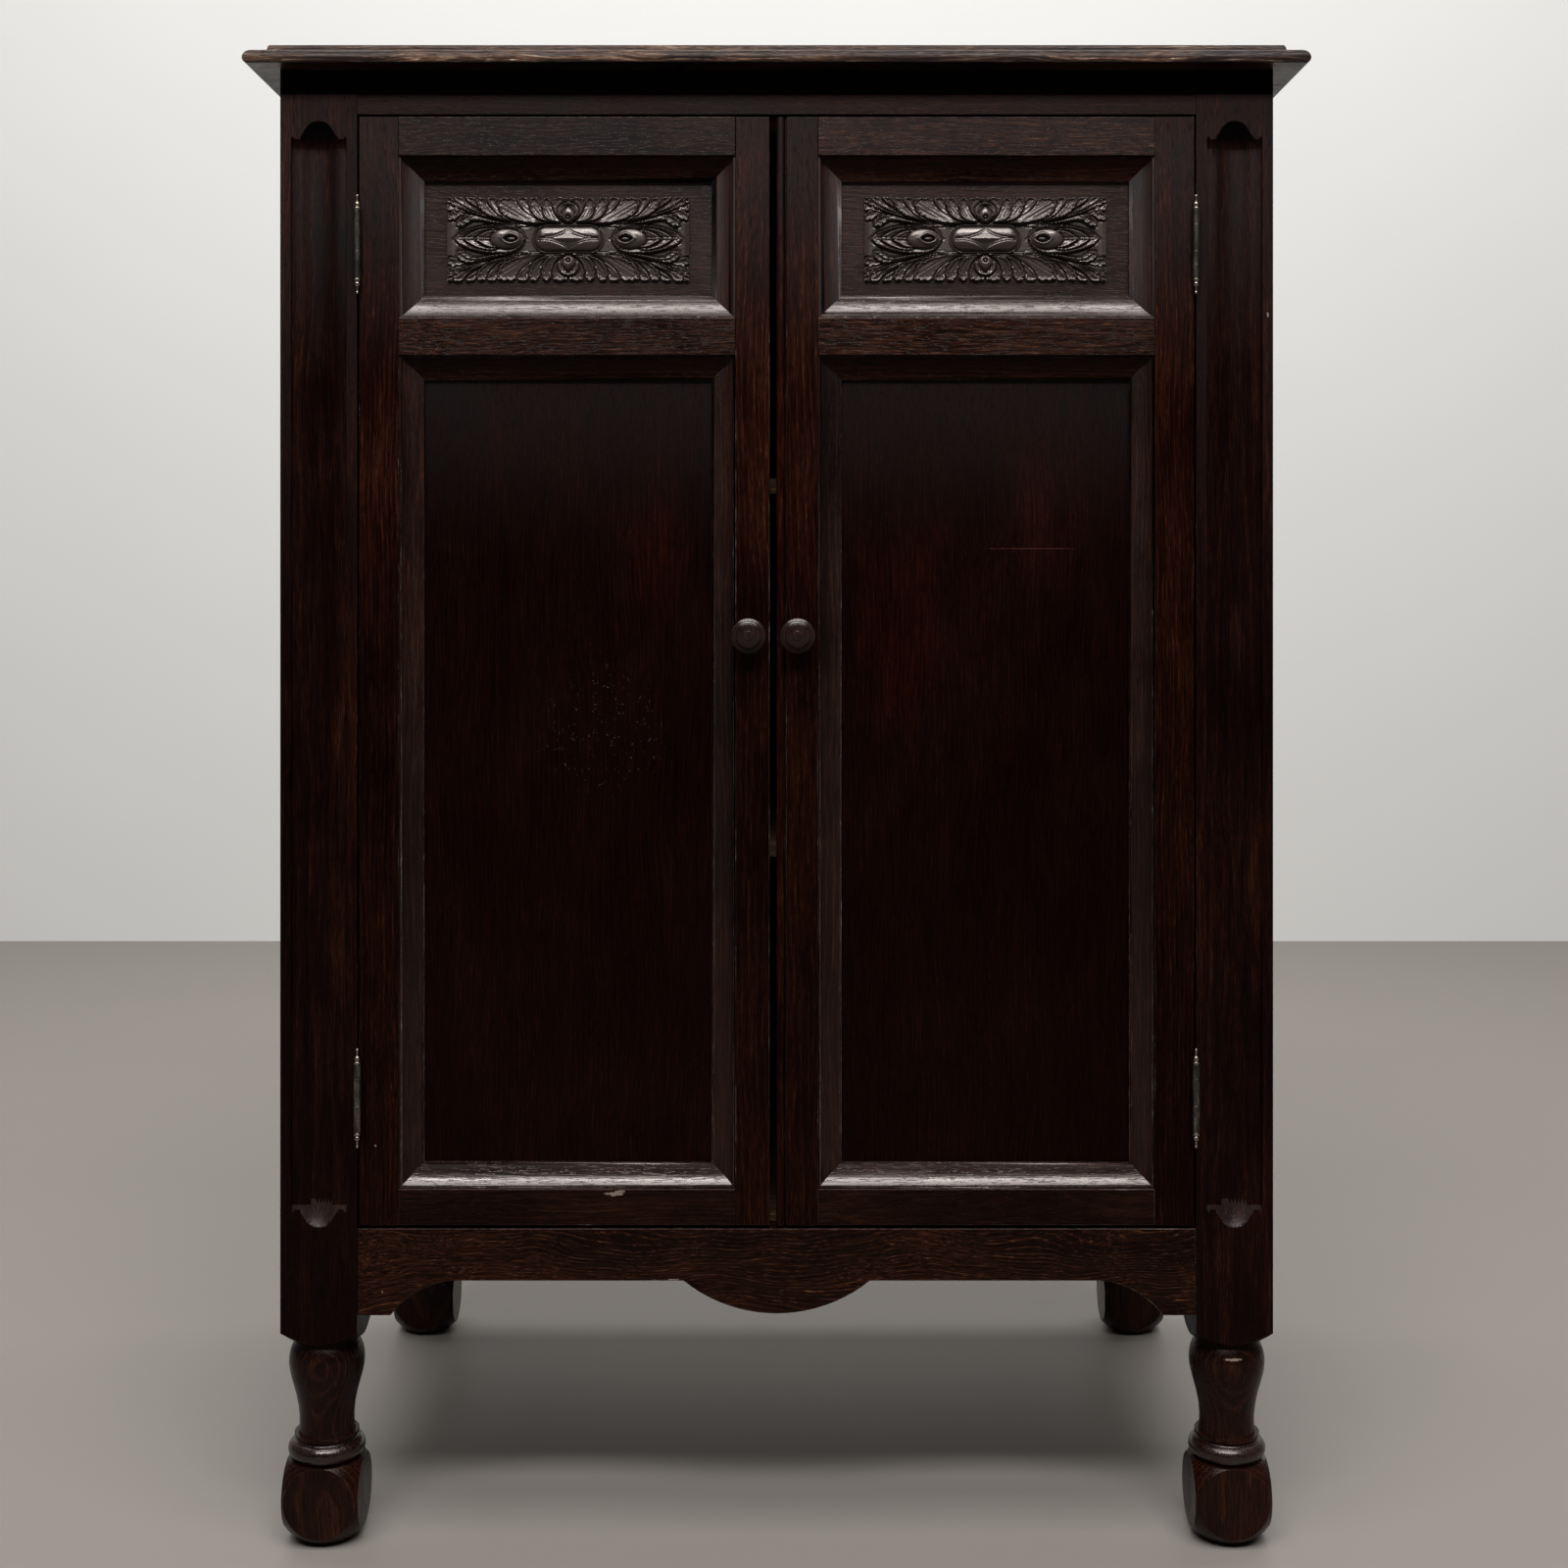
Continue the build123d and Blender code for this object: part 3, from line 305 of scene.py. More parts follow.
def blend_colours(tree, factor, first, second, blend_type="MIX"):
    """Two colours mixed."""
    node = add_node(tree, "Mix", data_type="RGBA", blend_type=blend_type)
    feed(tree, factor, node.inputs["Factor"])
    feed(tree, first, node.inputs[6])
    feed(tree, second, node.inputs[7])
    return node.outputs[2]


# ---------------------------------------------------------------- node groups
GROUPS = {}


def shader_group(name, inputs, outputs):
    """An empty shader node group with its sockets named by kind, and what it is given and
    puts out."""
    tree = bpy.data.node_groups.new(name, "ShaderNodeTree")
    for way, kinds in (("INPUT", inputs), ("OUTPUT", outputs)):
        for kind, names in kinds.items():
            for socket in names:
                tree.interface.new_socket(socket, in_out=way, socket_type="NodeSocket" + kind)
    GROUPS[name] = tree
    return tree, tree.nodes.new("NodeGroupInput").outputs, tree.nodes.new("NodeGroupOutput").inputs


def put_out(tree, result, **sockets):
    """Links what a group has worked out into its outputs."""
    for name, value in sockets.items():
        tree.links.new(value, result[name])


def use_group(tree, name, values):
    """Places a node group in a material with its own values, and gives its outputs."""
    group = tree.nodes.new("ShaderNodeGroup")
    group.node_tree = GROUPS[name]
    for socket, value in values.items():
        feed(tree, value, group.inputs[socket])
    return group.outputs


def make_oak_group():
    """Stained oak with its grain along Z: growth rings, fibres, open pores and patches."""
    tree, given, result = shader_group(
        "stained_oak",
        {
            "Vector": ("Vector",),
            "Color": ("Stain", "Warm"),
            "Float": ("Warmth", "Contrast", "Wave", "Rings", "Ring Density", "Roughness", "Pore Depth"),
        },
        {"Color": ("Color",), "Float": ("Roughness", "Height")},
    )
    place = given["Vector"]
    # the fibres wander a little, more where the grain is wavy, and never along the grain
    wander = noise(tree, place, (13.0, 13.0, 7.0), output="Color")
    wander = combine(tree, "ADD", wander, (-0.5, -0.5, -0.5))
    wander = stretched(tree, wander, calculate(tree, "MULTIPLY", given["Wave"], 0.022))
    wood = combine(tree, "ADD", place, combine(tree, "MULTIPLY", wander, (1.0, 1.0, 0.0)))
    # growth rings round the trunk's axis
    radius = length_of(tree, combine(tree, "MULTIPLY", wood, (1.0, 1.0, 0.05)))
    uneven = calculate(tree, "MULTIPLY", noise(tree, wood, (45.0, 45.0, 3.0), 1.0), 2.4)
    ring = calculate(tree, "FRACT", calculate(tree, "MULTIPLY_ADD", radius, given["Ring Density"], uneven))
    early = calculate(tree, "MULTIPLY", ramp(tree, ring, 0.52, 0.90), ramp(tree, ring, 1.0, 0.92))
    # fibres, fine and coarse, and the pores among them
    lines = noise(tree, wood, (900.0, 900.0, 24.0), 3.0, 0.6)
    fibres = noise(tree, wood, (1900.0, 1900.0, 110.0), 1.0)
    streaks = noise(tree, wood, (170.0, 170.0, 7.0), 2.0, 0.55)
    cells = noise(tree, wood, (1250.0, 1250.0, 105.0), 1.0)
    pores = ramp(tree, calculate(tree, "MULTIPLY_ADD", early, 0.06, cells), 0.60, 0.68)
    patches = noise(tree, place, (26.0, 26.0, 11.0), 3.0, 0.6)
    clouds = noise(tree, place, (6.0, 6.0, 2.6), 2.0)
    # colour: warm where the stain is thin, darker in the pores
    warm = swing(tree, clouds, 2.0, swing(tree, streaks, 0.5, swing(tree, patches, 1.6)))
    warm = calculate(tree, "MULTIPLY_ADD", early, given["Rings"], warm)
    warm = calculate(tree, "MULTIPLY_ADD", warm, given["Contrast"], given["Warmth"])
    colour = blend_colours(tree, ramp(tree, warm, -0.35, 1.0), given["Stain"], given["Warm"])
    tone = swing(tree, streaks, 0.7, swing(tree, fibres, 3.2, swing(tree, lines, 5.0)))
    tone = calculate(tree, "MULTIPLY", tone, given["Contrast"])
    arches = calculate(tree, "MULTIPLY", early, given["Rings"])
    tone = calculate(tree, "MULTIPLY_ADD", arches, 0.9, tone)
    tone = calculate(tree, "MULTIPLY_ADD", pores, -0.9, tone)
    tone = calculate(tree, "POWER", 2.4, tone)
    # the lightest lines are greyer: old wax lies in them
    waxy = ramp(tree, tone, 1.2, 4.0, 0.0, 0.75)
    dull = blend_colours(tree, waxy, (1.0, 1.0, 1.0), (0.62, 1.25, 1.60))
    colour = blend_colours(tree, 1.0, colour, dull, "MULTIPLY")
    rough = calculate(tree, "MULTIPLY_ADD", pores, 0.20, given["Roughness"])
    rough = swing(tree, lines, 0.30, swing(tree, patches, 0.36, rough))
    # pores are sunk, and the coarser fibres stand up, in millimetres
    sunk = calculate(tree, "MULTIPLY", calculate(tree, "MULTIPLY", pores, given["Pore Depth"]), -1.0)
    height = calculate(tree, "MULTIPLY_ADD", streaks, 0.12, sunk)
    height = calculate(tree, "MULTIPLY_ADD", lines, 0.11, height)
    put_out(tree, result, Color=stretched(tree, colour, tone), Roughness=rough, Height=height)


def make_metal_group():
    """Old metal: dark in patches, brighter where it is rubbed."""
    tree, given, result = shader_group(
        "old_metal",
        {"Vector": ("Vector",), "Color": ("Dark", "Rubbed"), "Float": ("Rub",)},
        {"Color": ("Color",), "Float": ("Roughness", "Height")},
    )
    clouds = noise(tree, given["Vector"], (240.0, 240.0, 60.0), 4.0, 0.6)
    spots = noise(tree, given["Vector"], (1300.0, 1300.0, 1300.0))
    mask = calculate(tree, "ADD", swing(tree, spots, 0.4, clouds), given["Rub"])
    mask = ramp(tree, calculate(tree, "ADD", mask, -0.5), 0.35, 0.75)
    put_out(
        tree, result,
        Color=blend_colours(tree, mask, given["Dark"], given["Rubbed"]),
        Roughness=calculate(tree, "MULTIPLY_ADD", mask, -0.16, 0.42),
        Height=calculate(tree, "MULTIPLY", spots, 0.02),
    )


def make_underside_shade_group():
    """Painted shade on faces that look down, which dims them, and a dullness there that takes their polish
    away.
    """
    tree, given, result = shader_group(
        "grime",
        {"Vector": ("Facing",), "Color": ("Color",), "Float": ("Roughness", "Polish")},
        {"Color": ("Color",), "Float": ("Roughness", "Polish")},
    )
    under = ramp(tree, axis_of(tree, given["Facing"], "Z"), 0.15, -0.20)
    unshaded = calculate(tree, "MULTIPLY_ADD", under, -1.0, 1.0)
    put_out(
        tree, result,
        # faces that look down are tinted towards this grey brown as painted shade
        Color=blend_colours(tree, under, given["Color"], (0.45, 0.40, 0.38), "MULTIPLY"),
        Roughness=calculate(tree, "MULTIPLY_ADD", under, 0.60, given["Roughness"]),
        Polish=calculate(tree, "MULTIPLY", unshaded, given["Polish"]),
    )


def make_layer_group():
    """A tint and a change of roughness that fade in between two heights; the tint is painted light and
    shade.
    """
    tree, given, result = shader_group(
        "stain_layer",
        {"Color": ("Color", "Tint"), "Float": ("Roughness", "Level", "Start", "End", "Rougher")},
        {"Color": ("Color",), "Float": ("Roughness",)},
    )
    fade_share = ramp(tree, given["Level"], given["Start"], given["End"])
    put_out(
        tree, result,
        Color=blend_colours(tree, fade_share, given["Color"], given["Tint"], "MULTIPLY"),
        Roughness=calculate(tree, "MULTIPLY_ADD", fade_share, given["Rougher"], given["Roughness"]),
    )


def make_haze_group():
    """Haze of old wax that fades in between two heights, thinner where the wood is rougher."""
    tree, given, result = shader_group(
        "wax_haze",
        {"Float": ("Roughness", "Clear Roughness", "Level", "Start", "End", "Weight")},
        {"Float": ("Haze",)},
    )
    thinner = calculate(tree, "SUBTRACT", given["Clear Roughness"], given["Roughness"])
    cloudy = calculate(tree, "MULTIPLY_ADD", thinner, 2.6, 1.0)
    fade_share = ramp(tree, given["Level"], given["Start"], given["End"], 0.0, given["Weight"])
    put_out(tree, result, Haze=calculate(tree, "MULTIPLY", cloudy, fade_share))


def make_spot_group():
    """A mask of one oval spot on a front face: its middle, what brings its edge to 1, how
    its edge is frayed, and how far in it is whole. It doesn't reach the back of the piece."""
    tree, given, result = shader_group(
        "worn_spot",
        {"Vector": ("Vector", "Facing", "Middle", "Stretch", "Fray Scale"), "Float": ("Fray", "Whole")},
        {"Float": ("Mask",)},
    )
    apart = combine(tree, "SUBTRACT", given["Vector"], given["Middle"])
    apart = length_of(tree, combine(tree, "MULTIPLY", apart, given["Stretch"]))
    behind = ramp(tree, axis_of(tree, given["Facing"], "Y"), -0.3, -0.1, 0.0, 10.0)
    apart = calculate(tree, "ADD", apart, behind)
    frayed = calculate(tree, "ADD", noise(tree, given["Vector"], given["Fray Scale"], 3.0), -0.5)
    apart = calculate(tree, "MULTIPLY_ADD", frayed, given["Fray"], apart)
    put_out(tree, result, Mask=ramp(tree, apart, 1.0, given["Whole"]))


# ---------------------------------------------------------------- materials
MATERIALS = {}
# roughness of the coat over the wood, where it is polish and where it is the haze of old wax
POLISH_ROUGHNESS = 0.24
HAZE_ROUGHNESS = 0.46
# turns a piece's own axes so that its grain lies along Z
GRAIN_TURN = {"Z": (0.0, 0.0, 0.0), "X": (0.0, radians(90.0), 0.0), "Y": (radians(90.0), 0.0, 0.0)}
# tints of the sheen, paler than the oak's own
NEUTRAL = (1.0, 0.90, 0.85)
COOL = (1.0, 0.88, 0.88)


def principled(name):
    """A new material with one Principled shader, its tree and that shader."""
    material = bpy.data.materials.new(name)
    material.use_nodes = True
    tree = material.node_tree
    shader = next(node for node in tree.nodes if node.type == "BSDF_PRINCIPLED")
    return material, tree, shader


def bump_into(tree, shader, height):
    """Feeds a height in millimetres into a shader's normal."""
    bump = add_node(tree, "Bump", {"Strength": 1.0, "Distance": MM, "Height": height})
    tree.links.new(bump.outputs["Normal"], shader.inputs["Normal"])


def spot(tree, given, area, fray_scale, fray, whole):
    """The mask of a spot on a front face, with its area as the middle across and up and the
    half width and half height, in millimetres."""
    across, up, half_width, half_height = (size * MM for size in area)
    return use_group(tree, "worn_spot", {
        "Vector": given["Object"],
        "Facing": given["Normal"],
        "Middle": (across, 0.0, up),
        "Stretch": (1 / half_width, 0.0, 1 / half_height),
        "Fray Scale": fray_scale,
        "Fray": fray,
        "Whole": whole,
    })["Mask"]


def worn_marks(tree, given, marks, flecks):
    """A mask of chips and scratches, and of the areas that short curved flecks cover."""
    place = given["Object"]
    total = 0.0
    for area in marks:
        chip = spot(tree, given, area, (700.0, 700.0, 700.0), 1.6, 0.8)
        total = calculate(tree, "MAXIMUM", chip, total)
    for area in flecks:
        swirl = calculate(tree, "ADD", noise(tree, place, (150.0, 150.0, 90.0)), -0.5)
        line = ramp(tree, calculate(tree, "ABSOLUTE", swirl), 0.016, 0.004)
        gate = ramp(tree, noise(tree, place, (420.0, 420.0, 300.0), 1.0), 0.58, 0.66)
        fleck = calculate(tree, "MULTIPLY", line, gate)
        near = spot(tree, given, area, (1.0, 1.0, 1.0), 0.0, 0.4)
        fleck = calculate(tree, "MULTIPLY", fleck, near)
        total = calculate(tree, "MAXIMUM", calculate(tree, "MULTIPLY", fleck, 0.8), total)
    return total


def oak(
    name, grain, heart=(0.0, 0.0, 0.0), warmth=0.0, contrast=1.0, wave=1.0, rings=0.3, density=300.0,
    stain=None, warm=None, rough=0.0, gloss=0.12, wax=None, carved=False, pores=1.0,
    marks=(), flecks=(), bare=None, tinted_areas=(), layers=(), haze=(), shade_under=0.0,
):
    """An oak material. grain is the axis it runs along; heart shifts the trunk's middle.
    A carved piece is darker in its hollows, as painted shade, and rubbed along its ridges.
    marks are chips and scratches in the bare colour, flecks areas of short ones, and tinted
    areas where the stain is changed by a tint, a painted reflection among them. Each layer
    fades in between two heights, as a tint and a change of roughness, and so does the haze of
    old wax, up to its weight; the layers' tints paint light and shade. Given a weight of
    polish, a piece is darkened where it faces down, as painted shade, and dull there, and has
    that weight of polish elsewhere."""
    if name in MATERIALS:
        return MATERIALS[name]
    colours = settings("oak")
    material, tree, shader = principled(name)
    given = add_node(tree, "TexCoord").outputs
    turned = {"Vector": given["Object"], "Rotation": GRAIN_TURN[grain]}
    turned = add_node(tree, "Mapping", turned, vector_type="TEXTURE").outputs[0]
    clear_roughness = colours.roughness + rough
    wood = use_group(tree, "stained_oak", {
        "Vector": add_node(tree, "Mapping", {"Vector": turned, "Location": heart}).outputs[0],
        "Stain": stain or colours.stain,
        "Warm": warm or colours.warm,
        "Warmth": warmth,
        "Contrast": contrast,
        "Wave": wave,
        "Rings": rings,
        "Ring Density": density,
        "Roughness": clear_roughness,
        "Pore Depth": colours.pore_depth * pores,
    })
    colour, roughness, height = wood["Color"], wood["Roughness"], wood["Height"]
    if carved:
        hollow = add_node(tree, "Attribute", attribute_name="hollow").outputs["Fac"]
        ridge = ramp(tree, hollow, 0.40, -0.40)
        # deep hollows of the carving are darkened and roughened: painted shade in its recesses
        deep = ramp(tree, hollow, 0.12, 0.60)
        colour = blend_colours(tree, ridge, colour, colours.ridge)
        colour = blend_colours(tree, deep, colour, [0.3 * value for value in colours.stain])
        roughness = calculate(tree, "MULTIPLY_ADD", deep, 0.4, roughness)
        roughness = calculate(tree, "MULTIPLY_ADD", ridge, -0.06, roughness)
    # faces that look down are darkened, as painted shade, and dulled; the rest gets the polish
    if shade_under:
        values = {"Facing": given["Normal"], "Color": colour, "Roughness": roughness, "Polish": shade_under}
        grime = use_group(tree, "grime", values)
        colour, roughness = grime["Color"], grime["Roughness"]
        tree.links.new(grime["Polish"], shader.inputs["Coat Weight"])
        shader.inputs["Coat Roughness"].default_value = POLISH_ROUGHNESS
    level = axis_of(tree, given["Object"], "Z")
    # layers tint the colour between two heights: painted shadow, painted light on upper parts and a
    # painted highlight
    for start, end, tint, rougher in layers:
        layer = use_group(tree, "stain_layer", {
            "Color": colour, "Roughness": roughness, "Tint": tint, "Rougher": rougher,
            "Level": level, "Start": start, "End": end,
        })
        colour, roughness = layer["Color"], layer["Roughness"]
    if haze:
        start, end, weight = haze
        cloudy = use_group(tree, "wax_haze", {
            "Roughness": roughness, "Clear Roughness": clear_roughness, "Weight": weight,
            "Level": level, "Start": start, "End": end,
        })["Haze"]
        tree.links.new(cloudy, shader.inputs["Coat Weight"])
        shader.inputs["Coat Roughness"].default_value = HAZE_ROUGHNESS
    # tinted areas multiply the colour: the stain fading, a darker boss, and a painted reflection on the
    # lower panels
    for *area, tint in tinted_areas:
        cloud = spot(tree, given, area, (30.0, 30.0, 12.0), 1.6, 0.1)
        colour = blend_colours(tree, cloud, colour, tint, "MULTIPLY")
    if marks or flecks:
        worn = worn_marks(tree, given, marks, flecks)
        colour = blend_colours(tree, worn, colour, bare or colours.bare)
        roughness = calculate(tree, "MULTIPLY_ADD", worn, 0.3, roughness)
        height = calculate(tree, "MULTIPLY_ADD", worn, -0.4, height)
    tree.links.new(colour, shader.inputs["Base Color"])
    tree.links.new(roughness, shader.inputs["Roughness"])
    bump_into(tree, shader, height)
    shader.inputs["Specular IOR Level"].default_value = gloss
    shader.inputs["Specular Tint"].default_value = (*(wax or colours.wax), 1.0)
    MATERIALS[name] = material
    return material


def old_metal(name, dark, rubbed, rub):
    """A metal material with patina, rubbed more or less."""
    material, tree, shader = principled(name)
    place = add_node(tree, "TexCoord").outputs["Object"]
    values = {"Vector": place, "Dark": dark, "Rubbed": rubbed, "Rub": rub}
    patina = use_group(tree, "old_metal", values)
    tree.links.new(patina["Color"], shader.inputs["Base Color"])
    tree.links.new(patina["Roughness"], shader.inputs["Roughness"])
    bump_into(tree, shader, patina["Height"])
    shader.inputs["Metallic"].default_value = 1.0
    return material


# ---------------------------------------------------------------- modelling helpers
def only(piece):
    """Makes a piece the only selected and the active one."""
    bpy.ops.object.select_all(action="DESELECT")
    piece.select_set(True)
    bpy.context.view_layer.objects.active = piece


def place_piece(piece, node, name):
    """Names a finished piece, rides it on the node's body and lets it stand for the node."""
    piece.name = name
    piece.data.name = name
    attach(piece, BODY_OF[node])
    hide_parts(node)


# points of a CAD piece nearer than this are merged, and faces this flat to each other joined
SAME_PLACE = 0.000002
SAME_FACE = radians(0.6)
# edges sharper than this are eased, and edges blunter than this are shaded smooth
SHARP = radians(36.0)
BLUNT = radians(50.0)


def eased(node, width, faces, edges, zones=()):
    """A copy of a CAD piece with its sharp edges eased, and the eased faces rubbed.
    zones pairs a material with a test that picks the faces it goes on by their centres."""
    piece = bpy.data.objects.new("eased_" + node, frame["nodes"][node].data.copy())
    bpy.context.scene.collection.objects.link(piece)
    only(piece)
    piece.data.materials.clear()
    for material in (faces, edges, *(material for material, _ in zones)):
        piece.data.materials.append(material)
    for polygon in piece.data.polygons:
        polygon.material_index = 0
        for slot, (_, test) in enumerate(zones, 2):
            if test(polygon.center):
                polygon.material_index = slot
    bpy.ops.mesh.customdata_custom_splitnormals_clear()
    bpy.ops.object.mode_set(mode="EDIT")
    bpy.ops.mesh.select_all(action="SELECT")
    bpy.ops.mesh.remove_doubles(threshold=SAME_PLACE)
    bpy.ops.mesh.dissolve_limited(angle_limit=SAME_FACE)
    bpy.ops.object.mode_set(mode="OBJECT")
    bevel = piece.modifiers.new("eased", "BEVEL")
    bevel.width = width
    bevel.segments = 2
    bevel.limit_method = "ANGLE"
    bevel.angle_limit = SHARP
    bevel.material = 1
    bpy.ops.object.modifier_apply(modifier=bevel.name)
    bpy.ops.object.shade_smooth_by_angle(angle=BLUNT)
    # the wide faces keep their own normals, so only the eased strips are rounded
    flat = piece.modifiers.new("flat", "WEIGHTED_NORMAL")
    flat.keep_sharp = True
    flat.weight = 100
    bpy.ops.object.modifier_apply(modifier=flat.name)
    place_piece(piece, node, "eased_" + node)


def paint(node, material):
    """Gives a CAD piece that stays as it is its material."""
    piece = frame["nodes"][node]
    piece.data.materials.clear()
    piece.data.materials.append(material)


# ---------------------------------------------------------------- joinery
def rubbed_oak(name, grain, warmth=0.0, gloss=0.3):
    """Oak along an eased edge, where the stain has been rubbed thin in places."""
    colours = settings("oak")
    return oak(
        name, grain, warmth=warmth - 0.25, contrast=1.6, gloss=gloss, rough=-0.02,
        stain=[1.6 * value for value in colours.stain], warm=colours.worn,
    )


# share of the eased edge that posts and mouldings get
FINE = 0.6
# how the oak of the posts shows on their square parts and on their turned ones
SQUARE = {"wave": 0.4, "density": 170.0, "wax": COOL}
TURNED = {"wave": 0.7, "density": 330.0, "wax": NEUTRAL, "rough": -0.10, "pores": 0.4}
# a flute's half width, its two ends, and how deep its faces lie behind the post's face
FLUTE_HALF = 0.0212
FLUTE_ENDS = (0.2425, 1.0815)
FLUTE_DEPTHS = (0.0003, 0.0125)
# heights where the flutes' arches begin and their rounded lower ends stop
ARCH = 1.0600
SCOOP = 0.262
# where the turned collar above each foot begins and ends
COLLAR = (0.0615, 0.0765)
# painted shadow: its dark tint, and as layers between two heights under the overhanging top and under the
# arches
SHADOW = (0.06, 0.05, 0.05)
OVERHANG_SHADOW = (1.0995, 1.1015, SHADOW, 0.5)
ARCH_SHADOW = (1.051, 1.070, SHADOW, 0.6)
# chips and scratches, each by its middle across and up and its half width and half height,
# in millimetres
MARKS = {
    "left_stile": ((-303.3, 306.0, 0.8, 0.8),),
    "left_low_rail": ((-122.6, 269.6, 7.5, 1.5), (-118.0, 271.4, 4.5, 0.9)),
    "right_post": ((371.0, 934.0, 0.8, 2.4),),
    "right_leg": ((345.0, 143.8, 7.5, 1.1),),
    "right_panel": ((195.0, 757.6, 36.0, 0.5),),
    "apron": ((-298.1, 195.6, 0.8, 0.8), (-78.0, 204.2, 5.0, 1.2), (-92.0, 204.0, 3.0, 0.9)),
}


def turned_leg(centre):
    """A test for the turned part of a post, below its square part."""
    return centre.z < settings("oak").leg_height


def collared(centre):
    """A test for the turned collar above a foot."""
    return COLLAR[0] < centre.z < COLLAR[1]


def fluted(node, bottom, top):
    """A test for the hollow of the flute in a front post's face, between two heights."""
    low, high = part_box(node)
    middle = (low.x + high.x) / 2

    def test(centre):
        inside = abs(centre.x - middle) < FLUTE_HALF and bottom < centre.z < top
        return inside and FLUTE_DEPTHS[0] < centre.y - low.y < FLUTE_DEPTHS[1]

    return test


class CUPBOARD_OT_joinery(bpy.types.Operator):
    """Ease the edges of the posts, rails and stiles and give them their oak"""

    bl_idname = "cupboard.joinery"
    bl_label = "Joinery"

    def execute(self, context):
        edge = settings("oak").edge
        rubbed = {axis: rubbed_oak("rubbed_oak_" + axis.lower(), axis) for axis in "XYZ"}
        # the side rails are darkened under the top by painted shadow
        side_rail = oak("side_rail_oak", "Y", (0.1, 0.3, 0.2), layers=(OVERHANG_SHADOW,))
        for side, sign in SIDES.items():
            zones = self.post_zones(side, sign)
            # the posts are darkened under the top by painted shadow, and lightened higher up by painted
            # light
            post = oak(
                f"{side}_post_oak", "Z", self.post_heart(sign), warmth=-0.05, gloss=0.07, **SQUARE,
                haze=(0.60, 1.08, 0.30), layers=(OVERHANG_SHADOW, (0.25, 0.90, (1.15, 1.05, 1.1), 0.0)),
                marks=MARKS.get(f"{side}_post", ()),
            )
            eased(f"front_{side}_post", edge * FINE, post, rubbed["Z"], zones)
            eased(f"rear_{side}_post", edge * FINE, post, rubbed["Z"], zones[:2])
            for level in ("top", "bottom"):
                eased(f"{side}_{level}_rail", edge, side_rail, rubbed["Y"])
            # the stiles are lightened higher up by their layer's tint: painted light
            stile = oak(
                f"{side}_stile_oak", "Z", (0.12 * sign, 0.10, 0.7 * sign), wave=0.5, gloss=0.06,
                haze=(0.86, 1.07, 0.42), layers=((0.65, 0.78, (1.9, 1.9, 1.95), 0.0),),
                marks=MARKS.get(f"{side}_stile", ()),
            )
            for name in ("hinge_stile", "meeting_stile"):
                eased(f"{side}_{name}", edge, stile, rubbed["Z"])
            # the door's upper rails are warmer than its low rail: partly their own tone, partly painted
            # light where they stand higher
            rail = oak(
                f"{side}_rail_oak", "X", (0.05 * sign, 0.17, 0.4 * sign), warmth=0.45, wave=0.9,
                contrast=1.8, gloss=0.22, wax=NEUTRAL, haze=(0.93, 1.06, 0.28),
            )
            low_rail = oak(
                f"{side}_low_rail_oak", "X", (0.25 * sign, 0.12, 0.1 * sign), warmth=0.05, wave=0.8,
                marks=MARKS.get(f"{side}_low_rail", ()),
            )
            eased(f"{side}_door_top_rail", edge, rail, rubbed["X"])
            eased(f"{side}_door_frieze_rail", edge, rail, rubbed["X"])
            eased(f"{side}_door_bottom_rail", edge, low_rail, rubbed["X"])
        # the front rail is darkened under the top by painted shadow
        rail = oak(
            "front_rail_oak", "X", (0.3, 0.12, 0.0), warmth=0.20, gloss=0.10, layers=(OVERHANG_SHADOW,),
            haze=(1.1010, 1.0990, 0.32),
        )
        for name in ("front_top_rail", "rear_top_rail", "rear_bottom_rail"):
            eased(name, edge, rail, rubbed["X"])
        apron = oak(
            "apron_oak", "X", (-0.19, 0.10, 0.0), warmth=0.25, contrast=1.8, wave=2.4, rings=0.5,
            marks=MARKS["apron"],
        )
        eased("front_apron", edge, apron, rubbed["X"])
        return {"FINISHED"}

    def post_heart(self, sign):
        """Where the trunk's heart lies: straight behind a post's face, so that the turning cuts
        its rings into arches."""
        return (-sign * 0.340, 0.05, 0.3 * sign)

    def post_zones(self, side, sign):
        """The parts of a front post with an oak of their own: first the turned leg and its
        collar, which a rear post has too, then the flute, its arch and its lower end."""
        heart = self.post_heart(sign)
        post = f"front_{side}_post"
        leg = oak(
            f"{side}_leg_oak", "Z", heart, warmth=0.35, rings=0.6, gloss=0.13, contrast=0.9,
            marks=MARKS.get(f"{side}_leg", ()), **TURNED,
        )
        collar = oak(f"{side}_collar_oak", "Z", heart, warmth=0.15, gloss=0.65, contrast=0.8, **TURNED)
        # the flute and its arch are darkened under the arch by painted shadow
        flute = oak(
            f"{side}_flute_oak", "Z", heart, warmth=-0.05, gloss=0.07, rough=0.02,
            haze=(0.88, 1.04, 0.35), layers=(ARCH_SHADOW,), **SQUARE,
        )
        arch = oak(
            f"{side}_arch_oak", "Z", heart, warmth=-0.05, gloss=0.05, rough=0.10,
            layers=(ARCH_SHADOW,), **SQUARE,
        )
        scoop = oak(f"{side}_scoop_oak", "Z", heart, gloss=0.6, rough=0.02, **SQUARE)
        bottom, top = FLUTE_ENDS
        return (
            (leg, turned_leg),
            (collar, collared),
            (flute, fluted(post, bottom, top)),
            (arch, fluted(post, ARCH, top)),
            (scoop, fluted(post, bottom, SCOOP)),
        )


